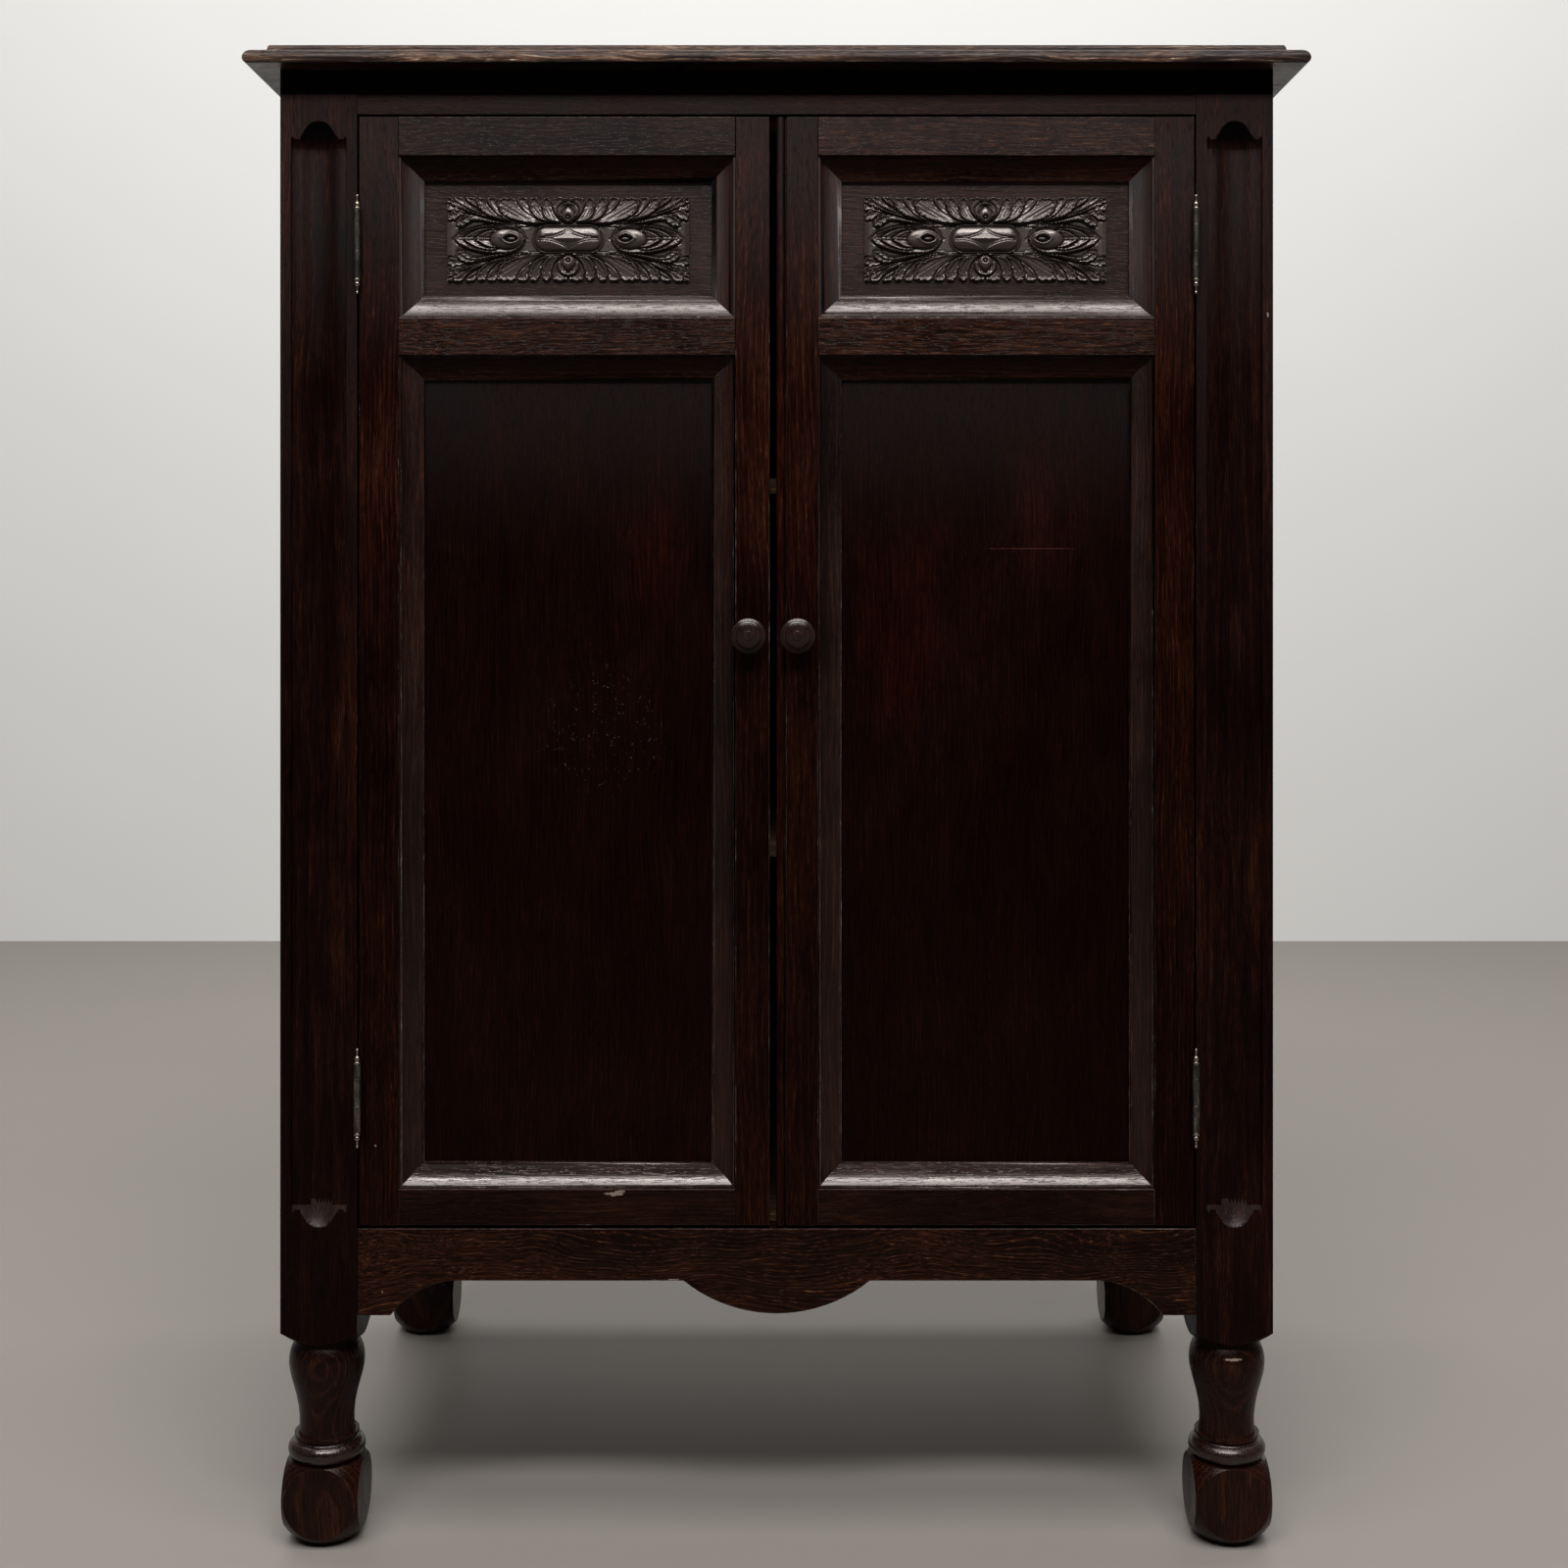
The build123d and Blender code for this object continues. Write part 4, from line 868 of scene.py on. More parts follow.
# ---------------------------------------------------------------- panels, top and inside
# areas of the lower panels as marks with a tint: in the first of each pair the stain fades
# to a red brown; the second, paler and high on the panel, is a painted reflection
FADING_AND_REFLECTION = {
    "left": ((-92.0, 775.0, 34.0, 90.0, (2.1, 1.8, 1.3)), (-215.0, 830.0, 40.0, 40.0, (1.4, 1.4, 1.4))),
    "right": ((95.0, 700.0, 40.0, 120.0, (2.0, 1.6, 1.2)), (210.0, 800.0, 50.0, 80.0, (1.5, 1.4, 1.4))),
}
# the area of flecks on the left panel, and the tone of the wear on each panel
FLECKS = {"left": ((-132.0, 620.0, 58.0, 60.0),), "right": ()}
PANEL_WEAR = {"left": (0.080, 0.060, 0.053), "right": (0.045, 0.012, 0.009)}
# faces of the top board this near its lowest point are its underside
UNDERSIDE = 0.0005


def lying_bar(node, top):
    """A test for the top or the bottom bar of a mitred frame."""
    low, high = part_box(node)

    def test(centre):
        across = min(centre.x - low.x, high.x - centre.x)
        gap = high.z - centre.z if top else centre.z - low.z
        return gap < across

    return test


class CUPBOARD_OT_panels(bpy.types.Operator):
    """Finish the panels of the doors and of the case, and the mouldings round them"""

    bl_idname = "cupboard.panels"
    bl_label = "Panels and mouldings"

    def execute(self, context):
        edge = settings("oak").edge
        case_panel = oak("case_panel_oak", "Z", (0.4, 0.2, 0.1), wave=1.4, contrast=1.5, warmth=0.2)
        head = oak("moulding_head_oak", "X", (0.1, 0.15, 0.2), wave=0.4, gloss=0.10)
        ledge = oak(
            "moulding_ledge_oak", "X", (0.3, 0.05, 0.1), warmth=0.30, wave=0.4, gloss=1.0,
            wax=NEUTRAL, rough=-0.06, layers=((0.50, 0.90, (1.0, 1.0, 1.0), 0.09),),
        )
        # the upright bars are lightened higher up by their layer's tint: painted light
        upright = oak(
            "moulding_oak", "Z", (0.2, 0.05, 0.0), warmth=0.15, wave=0.4, gloss=0.28,
            wax=NEUTRAL, haze=(0.85, 1.0, 0.8), layers=((0.85, 1.0, (2.0, 1.9, 1.8), 0.0),),
        )
        rubbed = rubbed_oak("rubbed_moulding", "Z", gloss=0.4)
        for side, sign in SIDES.items():
            tall = oak(
                f"{side}_panel_oak", "Z", (0.21 * sign, 0.31, 0.2 * sign), wave=0.9, gloss=0.07,
                contrast=0.7, stain=(0.0026, 0.0004, 0.0003), warm=(0.0085, 0.0015, 0.0009),
                marks=MARKS.get(f"{side}_panel", ()), flecks=FLECKS[side], bare=PANEL_WEAR[side],
                tinted_areas=FADING_AND_REFLECTION[side], haze=(0.74, 0.90, 0.30),
            )
            frieze = oak(
                f"{side}_frieze_panel_oak", "X", (0.1 * sign, 0.2, 0.6 * sign), warmth=0.30,
                gloss=0.36, rough=0.12, wax=NEUTRAL, wave=0.6,
            )
            paint(f"{side}_lower_panel", tall)
            paint(f"{side}_upper_panel", frieze)
            paint(f"{side}_side_panel", case_panel)
            for name in (f"{side}_upper_moulding", f"{side}_lower_moulding"):
                bars = ((head, lying_bar(name, True)), (ledge, lying_bar(name, False)))
                eased(name, edge * FINE, upright, rubbed, bars)
        paint("back_panel", case_panel)
        return {"FINISHED"}


class CUPBOARD_OT_top(bpy.types.Operator):
    """Ease the moulded top, rub its eased edges back towards the bare wood, and paint a highlight on the
    lower band of its nosing
    """

    bl_idname = "cupboard.top"
    bl_label = "Top"

    def execute(self, context):
        # the nosing's lower band is lightened by the layer's tint: a painted highlight
        faces = oak(
            "top_oak", "X", (0.0, 0.4, 0.2), warmth=0.20, contrast=1.7, warm=(0.062, 0.028, 0.016),
            gloss=0.16, wax=NEUTRAL, layers=((1.1245, 1.1210, (2.6, 2.8, 2.9), 0.0),),
            haze=(1.1240, 1.1205, 0.5),
        )
        below = oak(
            "top_underside_oak", "X", (0.2, 0.3, 0.1), contrast=1.8, wave=2.0, gloss=0.30,
            wax=NEUTRAL, pores=4.0,
        )
        edges = rubbed_oak("rubbed_top", "X", warmth=1.1, gloss=0.5)
        low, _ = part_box("top_board")
        underside = (below, lambda centre: centre.z < low.z + UNDERSIDE)
        eased("top_board", settings("oak").edge, faces, edges, (underside,))
        return {"FINISHED"}


class CUPBOARD_OT_inside(bpy.types.Operator):
    """Give the shelves, boards and battens inside their unpolished finish"""

    bl_idname = "cupboard.inside"
    bl_label = "Inside"

    def execute(self, context):
        colours = settings("oak")
        dark = [0.45 * value for value in colours.inside]
        finish = {
            axis: oak(
                "inside_wood_" + axis.lower(), axis, (0.1, 0.2, 0.3), warmth=0.5,
                stain=dark, warm=colours.inside, rough=0.22,
            )
            for axis in "XY"
        }
        for name in (
            "bottom_board", "lower_shelf", "upper_shelf", "bottom_bearers", "door_stop", "top_buttons",
        ):
            eased(name, colours.edge, finish["X"], finish["X"])
        eased("shelf_cleats", colours.edge, finish["Y"], finish["Y"])
        return {"FINISHED"}


# ---------------------------------------------------------------- turning
def turned(centre, rings, steps, material):
    """A turned piece along -Y. rings are (radius, distance in front of the centre) pairs."""
    bpy.ops.object.select_all(action="DESELECT")
    radius, reach = rings[0]
    bpy.ops.mesh.primitive_circle_add(
        vertices=steps, radius=radius, fill_type="NGON",
        location=(centre[0], centre[1] - reach, centre[2]), rotation=(pi / 2, 0.0, 0.0),
    )
    piece = bpy.context.object
    bpy.ops.object.transform_apply(location=True, rotation=True, scale=True)
    bpy.ops.object.mode_set(mode="EDIT")
    bpy.ops.mesh.select_all(action="SELECT")
    for next_radius, next_reach in rings[1:]:
        bpy.ops.mesh.extrude_region_move(
            TRANSFORM_OT_translate={"value": (0.0, reach - next_reach, 0.0)}
        )
        share = next_radius / radius
        middle = (centre[0], centre[1] - next_reach, centre[2])
        bpy.ops.transform.resize(value=(share, 1.0, share), center_override=middle)
        radius, reach = next_radius, next_reach
    bpy.ops.mesh.merge(type="COLLAPSE")
    bpy.ops.mesh.select_all(action="SELECT")
    bpy.ops.mesh.normals_make_consistent(inside=False)
    bpy.ops.object.mode_set(mode="OBJECT")
    piece.data.materials.append(material)
    bpy.ops.object.shade_smooth_by_angle(angle=radians(38.0))
    return piece


def arc(centre, radii, start, end, count):
    """Points of an elliptical arc, as (radius, reach) pairs. Angles in degrees."""
    points = []
    for k in range(count + 1):
        angle = radians(start + (end - start) * k / count)
        points.append((centre[0] + radii[0] * cos(angle), centre[1] + radii[1] * sin(angle)))
    return points


# length of the knob's spigot, in millimetres
SPIGOT = 11.0
# foot and flared neck, as (radius, distance in front of the door) pairs in millimetres
KNOB_FOOT = ((4.0, -SPIGOT), (4.0, -0.2), (7.2, -0.2), (7.6, 0.2), (7.6, 1.2), (7.0, 1.7))
# the hollow under the beads, as an arc: its middle, radii, angles and number of steps
KNOB_HOLLOW = ((12.2, 4.4), (5.9, 7.2), 195.0, 98.0, 10)
# the widest bead, with its radii as steps inside the knob's own
KNOB_RIM = ((0.9, 11.9), (0.25, 12.3), (0.0, 12.9), (0.15, 13.5), (0.55, 13.85))
# the second bead with the grooves on its two sides
KNOB_BEAD = (
    (11.9, 14.25), (11.05, 14.6), (10.98, 14.15), (10.7, 14.15), (10.62, 14.5), (10.45, 14.6),
    (10.0, 14.8), (9.5, 15.0), (9.42, 13.6), (9.15, 13.6), (9.1, 15.1), (8.95, 15.4),
)
# the flat dome: its radius, the height of its edge, its rise, the steps that it is turned in
# and how far each goes in, and the spacing of its fine rings
DOME = 8.8
DOME_EDGE = 15.55
DOME_RISE = 0.9
DOME_STEPS = 22
DOME_STEP = 0.23
RING_SPACING = 1.7
# the button in its middle
KNOB_BUTTON = (
    (3.6, 16.36), (3.4, 16.44), (3.2, 16.5), (2.9, 16.52), (1.9, 16.55), (1.7, 16.5),
    (1.5, 16.56), (0.8, 16.6), (0.3, 16.61),
)


class CUPBOARD_OT_knobs(bpy.types.Operator):
    """Turn the two knobs with their rings and nibs"""

    bl_idname = "cupboard.knobs"
    bl_label = "Knobs"

    def execute(self, context):
        turning = settings("knobs")
        for side in SIDES:
            low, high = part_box(f"{side}_knob")
            centre = ((low.x + high.x) / 2, high.y - SPIGOT * MM, (low.z + high.z) / 2)
            radius = (high.x - low.x) / 2 / MM
            rings = [*KNOB_FOOT, *arc(*KNOB_HOLLOW)]
            rings += [(radius - step, reach) for step, reach in KNOB_RIM]
            rings += KNOB_BEAD
            for k in range(DOME_STEPS):
                out = DOME - DOME_STEP * k
                groove = turning.ridge / MM * (0.5 - 0.5 * cos(2 * pi * out / RING_SPACING))
                rings.append((out, DOME_EDGE + DOME_RISE * (1 - (out / DOME) ** 2) - groove))
            rings += KNOB_BUTTON
            # the knob's faces that look down are darkened as painted shade
            material = oak(
                f"{side}_knob_oak", "Z", (-centre[0] + 0.008, 0.2, 0.0), warmth=0.8, wave=0.5,
                rough=-0.14, shade_under=0.35, gloss=0.25, wax=NEUTRAL, contrast=0.7, pores=0.3,
                stain=(0.0042, 0.0011, 0.0008), warm=(0.013, 0.0036, 0.0022),
            )
            knob = turned(centre, [(r * MM, z * MM) for r, z in rings], turning.steps, material)
            place_piece(knob, f"{side}_knob", f"turned_{side}_knob")
        return {"FINISHED"}


# ---------------------------------------------------------------- carving
def smooth_step(x, low, high):
    """0 below low, 1 above high, smooth between."""
    t = np.clip((x - low) / (high - low), 0.0, 1.0)
    return t * t * (3 - 2 * t)


def outline(points, closed=True, count=10):
    """A smooth curve through points, in millimetres."""
    points = np.array(points, float)
    if not closed:
        points = np.vstack((2 * points[0] - points[1], points, 2 * points[-1] - points[-2]))
    t = np.linspace(0, 1, count, endpoint=False)[:, None]
    spans = range(len(points)) if closed else range(1, len(points) - 2)
    parts = []
    for k in spans:
        a, b, c, d = (points[(k + j) % len(points)] for j in (-1, 0, 1, 2))
        square, cube = 2 * a - 5 * b + 4 * c - d, 3 * b - a - 3 * c + d
        parts.append(b + 0.5 * ((c - a) * t + square * t**2 + cube * t**3))
    if not closed:
        parts.append(points[-2:-1])
    return np.vstack(parts)


def nearest(u, v, starts, ends):
    """Distance of each place to a run of straight pieces, and how far along it that is."""
    best = np.full(u.shape, 1e9)
    along = np.zeros(u.shape)
    travelled = 0.0
    for start, end in zip(starts, ends):
        step = end - start
        length = max(np.hypot(*step), 1e-9)
        t = np.clip(((u - start[0]) * step[0] + (v - start[1]) * step[1]) / length**2, 0, 1)
        gap = np.hypot(u - start[0] - t * step[0], v - start[1] - t * step[1])
        nearer = gap < best
        best = np.where(nearer, gap, best)
        along = np.where(nearer, travelled + t * length, along)
        travelled += length
    return best, along


def inset(u, v, curve):
    """How far each place lies inside a closed curve, and where along it the nearest point is."""
    ends = np.roll(curve, -1, axis=0)
    gap, along = nearest(u, v, curve, ends)
    inside = np.zeros(u.shape, bool)
    for start, end in zip(curve, ends):
        rise = end[1] - start[1] or 1e-9
        crosses = (start[1] > v) != (end[1] > v)
        inside ^= crosses & (u < start[0] + (v - start[1]) / rise * (end[0] - start[0]))
    return np.where(inside, gap, -gap), along


def lay_lobe(height, u, v, points, root, tip, high, low, edge, teeth, veins):
    """Lays one lobe of a leaf over a relief. It falls from high at its root to low near its
    tip, where it curls forward again. Its outer side stands up by edge and undercuts what
    it lies on."""
    curve = outline(points)
    near = (
        (u > curve[:, 0].min() - 3) & (u < curve[:, 0].max() + 3)
        & (v > curve[:, 1].min() - 3) & (v < curve[:, 1].max() + 3)
    )
    a, b, under = u[near], v[near], height[near]
    depth, along = inset(a, b, curve)
    run = np.array(tip, float) - root
    length = np.hypot(*run)
    share = np.clip(((a - root[0]) * run[0] + (b - root[1]) * run[1]) / length**2, 0, 1)
    off = ((a - root[0]) * run[1] - (b - root[1]) * run[0]) / length
    sides = ((curve[:, 0] - root[0]) * run[1] - (curve[:, 1] - root[1]) * run[0]) / length
    half = max(np.abs(sides).max(), 1.0)
    outer = smooth_step(off / half, -0.6, 0.5)
    if teeth:
        notch = (0.5 + 0.5 * np.cos(2 * pi * along / teeth)) ** 2
        depth = depth - 0.17 * teeth * smooth_step(share, 0.50, 0.80) * notch
    top = high + (low - high) * smooth_step(share, 0.0, 0.85) + 0.35 * np.clip(off / half, -1, 1)
    curl = smooth_step(share, 0.62, 0.92)
    rim = smooth_step(2.4 - depth, 0.0, 1.7)
    top = top + rim * np.maximum(1.3 * curl, edge * outer)
    top = top - 0.8 * smooth_step(0.75 - depth, 0.0, 0.75)
    if veins:
        fade = smooth_step(depth, 0.8, 2.4)
        top = top + 0.11 * np.cos(2 * pi * off / veins) * fade
        top = top - 0.35 * np.exp(-((off / 0.45) ** 2)) * fade
    cover = smooth_step(depth, -0.1, 0.35)
    groove = 1.5 * np.exp(-((np.minimum(depth, 0) / 1.1) ** 2)) * smooth_step(under, 0.3, 1.2)
    under = np.maximum(under - groove, np.minimum(under, 0.35))
    height[near] = under * (1 - cover) + top * cover


def lay_ridge(height, u, v, points, width, lift, beads=0.0):
    """Lays a rounded ridge along a curve over a relief, beaded where asked."""
    curve = outline(points, closed=False)
    gap, along = nearest(u, v, curve[:-1], curve[1:])
    total = np.hypot(*np.diff(curve, axis=0).T).sum()
    ends = smooth_step(along, 0, 2.0) * smooth_step(total - along, 0, 2.0)
    if beads:
        ends = ends * (0.55 + 0.45 * np.cos(2 * pi * along / beads))
    groove = 0.5 * np.exp(-(((gap - width * 0.62) / 0.45) ** 2))
    return height + ends * lift * np.exp(-((gap / (width / 2)) ** 2)) - groove * (ends > 0.02)


def lay_ball(height, u, v, centre, radii, base, rise):
    """Lays an oval swelling over a relief, with a groove round it."""
    d = np.sqrt(((u - centre[0]) / radii[0]) ** 2 + ((v - centre[1]) / radii[1]) ** 2)
    groove = 0.9 * np.exp(-(((d - 1.0) * min(radii) / 0.7) ** 2))
    ball = base + rise * np.clip(1 - d * d, 0, 1) ** 0.5
    return np.where(d < 1, np.maximum(ball, height - groove), height - groove * (d < 1.6))


# one corner of the plaque, from its outer lobes to its inner ones, in millimetres from the
# middle: outline, root, tip, height at the root, height near the tip, edge, teeth, veins
LOBES = (
    # the side of the corner leaf and its curled tips
    (((62, 16.6), (72, 19.6), (82, 23.5), (90, 27.6), (92.4, 25), (91, 21.5), (82, 20.2), (72, 18)),
     (60, 16), (92, 25), 3, 1.8, 0.4, 0, 0),
    (((58, 15), (70, 17.3), (80, 20), (88, 21.4), (92, 18.6), (91.4, 14.6), (87, 14), (82, 16.4),
     (70, 16)), (58, 15), (91, 17), 3.1, 2, 0.5, 5.5, 0),
    (((44, 11), (57, 14.2), (69, 17.6), (77, 18.4), (83.8, 15.2), (84.8, 10), (80, 9.4), (75, 12.8),
     (69, 14.2), (57, 12.2)), (46, 11.4), (83, 13), 3.4, 2.9, 0.3, 4.6, 0),
    # the corner and the long edge
    (((60, 16.6), (70, 21), (80, 26), (87, 31.8), (92.6, 32.2), (92.4, 28), (85, 24.4), (72, 19.4)),
     (62, 17), (92, 31), 3.3, 1.9, 0.2, 5, 2.4),
    (((60, 17), (69, 22), (77, 27.6), (81, 31.9), (87.4, 32), (86.4, 29.6), (79, 25), (70, 20)),
     (62, 17.6), (85, 31), 3.2, 1.6, 0.2, 0, 2.4),
    (((56, 16), (64, 20.6), (71, 24.8), (76, 28.4), (78.4, 31.8), (73, 32), (70.2, 30.4), (66, 24)),
     (57, 16.6), (75, 31), 3.2, 1.4, 0.3, 0, 2.2),
    (((46, 13.8), (57, 16.2), (63.4, 19.4), (67.8, 23), (69.6, 27), (69.4, 31), (65.4, 31.8),
     (62.2, 30.4), (60.4, 26), (56, 20.6), (51, 16.6)), (48, 14.2), (66.5, 30),
     3.4, 1.5, 1.2, 4.6, 2.6),
    (((44, 13.8), (53, 18), (58, 23), (61, 27.4), (61.8, 31), (58, 32), (54.6, 31), (52.4, 26),
     (49, 19.6)), (45, 14), (58.5, 30.5), 3, 1.2, 0.2, 0, 2.2),
    (((16, 12.6), (27, 12), (37, 13.4), (46, 16.2), (50.6, 18.8), (52.6, 22.5), (54.2, 26.5),
     (54, 30.8), (47, 31.9), (40, 31.2), (37.6, 27), (34.6, 22.4), (27, 17.4)), (20, 13), (49, 30.5),
     3.5, 1.5, 1.3, 5.2, 2.8),
    (((17, 13), (26, 16.4), (33, 20.6), (37, 25.2), (39, 30.6), (35, 31.9), (31, 31.2), (29.8, 27.4),
     (27.4, 22), (22, 16.6)), (18, 13.2), (35, 30.5), 3.1, 1.3, 0.2, 0, 2.2),
    (((11, 12.8), (20.6, 14.2), (26.2, 18), (29.4, 23.4), (30.2, 28.6), (28.2, 31.9), (23.4, 31.4),
     (21.4, 27.6), (19.4, 22), (15, 16.2)), (13, 13), (26.6, 30), 3.5, 1.5, 1.2, 4.8, 2.6),
    (((6, 12.8), (13.6, 13.8), (17.8, 16.8), (19.8, 21.4), (20.6, 26.6), (19, 31.2), (14.6, 31.6),
     (12.6, 28), (11.4, 22), (8.8, 16.6)), (8, 13), (17, 29.6), 3.5, 1.6, 1.2, 4.8, 2.6),
    # the shell over the rosette
    (((0.3, 13), (4, 14.4), (8.6, 17.6), (11.4, 22), (12.4, 27), (11.4, 31), (7, 32.1), (2.4, 31.6),
     (0.3, 29.4)), (1, 14), (6.4, 31), 3.1, 1.5, 0.9, 5.6, 0),
    (((-6, 27.4), (0, 27.8), (4.4, 26.6), (7.6, 22.8), (6.4, 17), (-6, 17)), (0, 16), (0, 28),
     3.2, 2.4, 0.5, 0, 2),
    # the calyx of the bud: pointed petals one inside the other
    (((33.8, -4), (34, 1.5), (36, 5.6), (40.6, 9), (48, 10.6), (56, 10.7), (66, 9.6), (75, 7.2),
     (84.4, 2.6), (84, -4)), (84, 0), (40, 0), 2.6, 2, 0.6, 0, 0),
    (((52, -3), (53, 6), (59, 8.4), (66, 7.6), (73, 5), (79, 0.8), (78, -3)), (79, 0), (54, 2),
     2.9, 1.5, 0.8, 0, 2.4),
    (((50, -3), (51, 4.6), (56, 6.6), (62, 5.6), (67, 3), (70.6, 0.4), (70, -3)), (70, 0), (52, 2),
     3.1, 1.7, 0.8, 0, 2),
)
MAIN_VEIN = (
    (2, 11.6), (14, 12.1), (27, 11.9), (40, 13.3), (50, 15.4), (60, 18), (70, 21.4), (80, 25.6),
    (91, 31.4),
)
SECOND_VEIN = (
    (6, 10.6), (20, 10.6), (34, 11.1), (46, 12.9), (56, 15.4), (66, 18.2), (78, 22.2), (90, 26.6),
)
SCROLL = ((30, 9.9), (40, 10.2), (49, 11.3), (58, 13), (68, 15.2), (76, 14.8), (81.6, 11.2))
CALYX_RIM = (
    (33.9, 0), (34.6, 3.6), (38, 7.6), (44.6, 10.1), (54, 10.5), (65, 9.4), (75, 6.9), (83.6, 3.4),
)
# height of the leaves that the lobes above are drawn for
DRAWN_RELIEF = 3.6


def plaque_relief(u, v, ground, relief):
    """Height of the carving over a place, all in millimetres: four corner sprays of
    acanthus, two buds in their calyxes, two rosettes and a middle boss."""
    a, b = np.abs(u), np.abs(v)
    height = np.where((a < 90.6) & (b < 28.4), ground, 0.0)
    height = np.where((a > 83.0) & (b < 13.0), ground + 2.2 * ((a - 86.6) / 5.0) ** 2, height)
    scale = relief / DRAWN_RELIEF
    for points, root, tip, high, low, edge, teeth, veins in LOBES:
        lay_lobe(height, a, b, points, root, tip, high * scale, low * scale, edge * scale, teeth, veins)
    ridges = ((SCROLL, 1.7, 0.9), (SECOND_VEIN, 1.3, 0.7), (MAIN_VEIN, 1.5, 0.9), (CALYX_RIM, 1.5, 0.9))
    for points, width, lift in ridges:
        height = lay_ridge(height, a, b, points, width, lift)
    height = lay_ridge(height, a, b, ((57, 0), (70, 0), (83, 0)), 1.7, 1.1, beads=3.2)
    # bud, with its eye: a bright pointed rim round a hollow with a seed in it
    height = lay_ball(height, a, b, (46.8, 0.0), (12.4, 7.8), ground + 0.6, relief)
    eye = np.sqrt(((a - 43.8) / 6.6) ** 2 + (b / (3.9 - 0.09 * np.clip(a - 43.8, -3, 8) ** 2 / 2)) ** 2)
    height = height + 0.9 * np.exp(-(((eye - 1.0) / 0.22) ** 2)) * (eye < 1.8)
    height = height - 2.4 * smooth_step(1 - eye, 0.10, 0.42)
    height = lay_ball(height, a, b, (43.4, 0.0), (3.6, 1.4), ground + 1.4, 1.3)
    # rosette: a pointed hood over a round eye
    hood = np.hypot(a / 5.4, np.where(b > 17.4, (b - 17.4) / 7.2, (b - 17.4) / 4.6))
    hood = hood + 0.30 * smooth_step(b, 18.0, 24.0) * a / 5.4
    groove = 1.2 * np.exp(-(((hood - 1.0) / 0.17) ** 2))
    knob = ground + 1.0 + relief * 0.95 * np.clip(1 - hood**2, 0, 1) ** 0.5
    height = np.where(hood < 1, np.maximum(knob, height - groove), height - groove * (hood < 1.5))
    hole = np.hypot(a / 2.6, (b - 16.4) / 2.5)
    height = height - 2.2 * smooth_step(1 - hole, 0.0, 0.5)
    height = height + 1.3 * np.sqrt(np.clip(1 - (hole / 0.45) ** 2, 0, 1))
    # middle boss: a rounded bar in a tray, with a star and a ridge along it
    along = np.maximum(a - 16.4, 0.0)
    d = np.hypot(along, b) / 9.4
    tray = ground + 0.1 + 1.1 * np.exp(-(((d - 1.10) / 0.055) ** 2))
    height = np.where((d < 1.20) & (d > 0.93), tray, height)
    round_over = np.clip(1 - (d / 0.97) ** 2, 0, 1) ** 0.5
    dome = ground + 0.1 + relief * 1.10 * np.minimum(round_over, 1 - 0.66 * d**2)
    height = np.where(d < 0.97, dome, height)
    star = 6.6 * np.clip(1 - a / 18.5, 0, 1) ** 1.9 + 1.1
    line = b - star
    within = a < 22.5
    height = height - 1.0 * np.exp(-((line / 0.5) ** 2)) * within
    height = height - 0.9 * smooth_step(-line, 0.2, 1.2) * within
    gem = a / 13.0 + b / 3.2
    height = height + 1.3 * np.clip(1 - gem, 0, 1) ** 0.8
    return height


# depth of a hollow that gets the darkest painted shade, and what is so thin that it is cut away, in
# millimetres
DEEP_HOLLOW = 0.9
WASTE = 0.3
# the area round each boss, and the tint of its darker stain
BOSS = (158.6, 993.0, 32.0, 12.0)
BOSS_TINT = (0.30, 0.25, 0.23)


def blurred(field, reach):
    """A grid of heights averaged over squares of the given half width in cells."""
    for axis in (0, 1):
        margins = [(reach + 1, reach) if k == axis else (0, 0) for k in (0, 1)]
        total = np.cumsum(np.pad(field, margins, mode="edge"), axis=axis)
        cells = np.arange(field.shape[axis])
        high = np.take(total, cells + 2 * reach + 1, axis=axis)
        field = (high - np.take(total, cells, axis=axis)) / (2 * reach + 1)
    return field


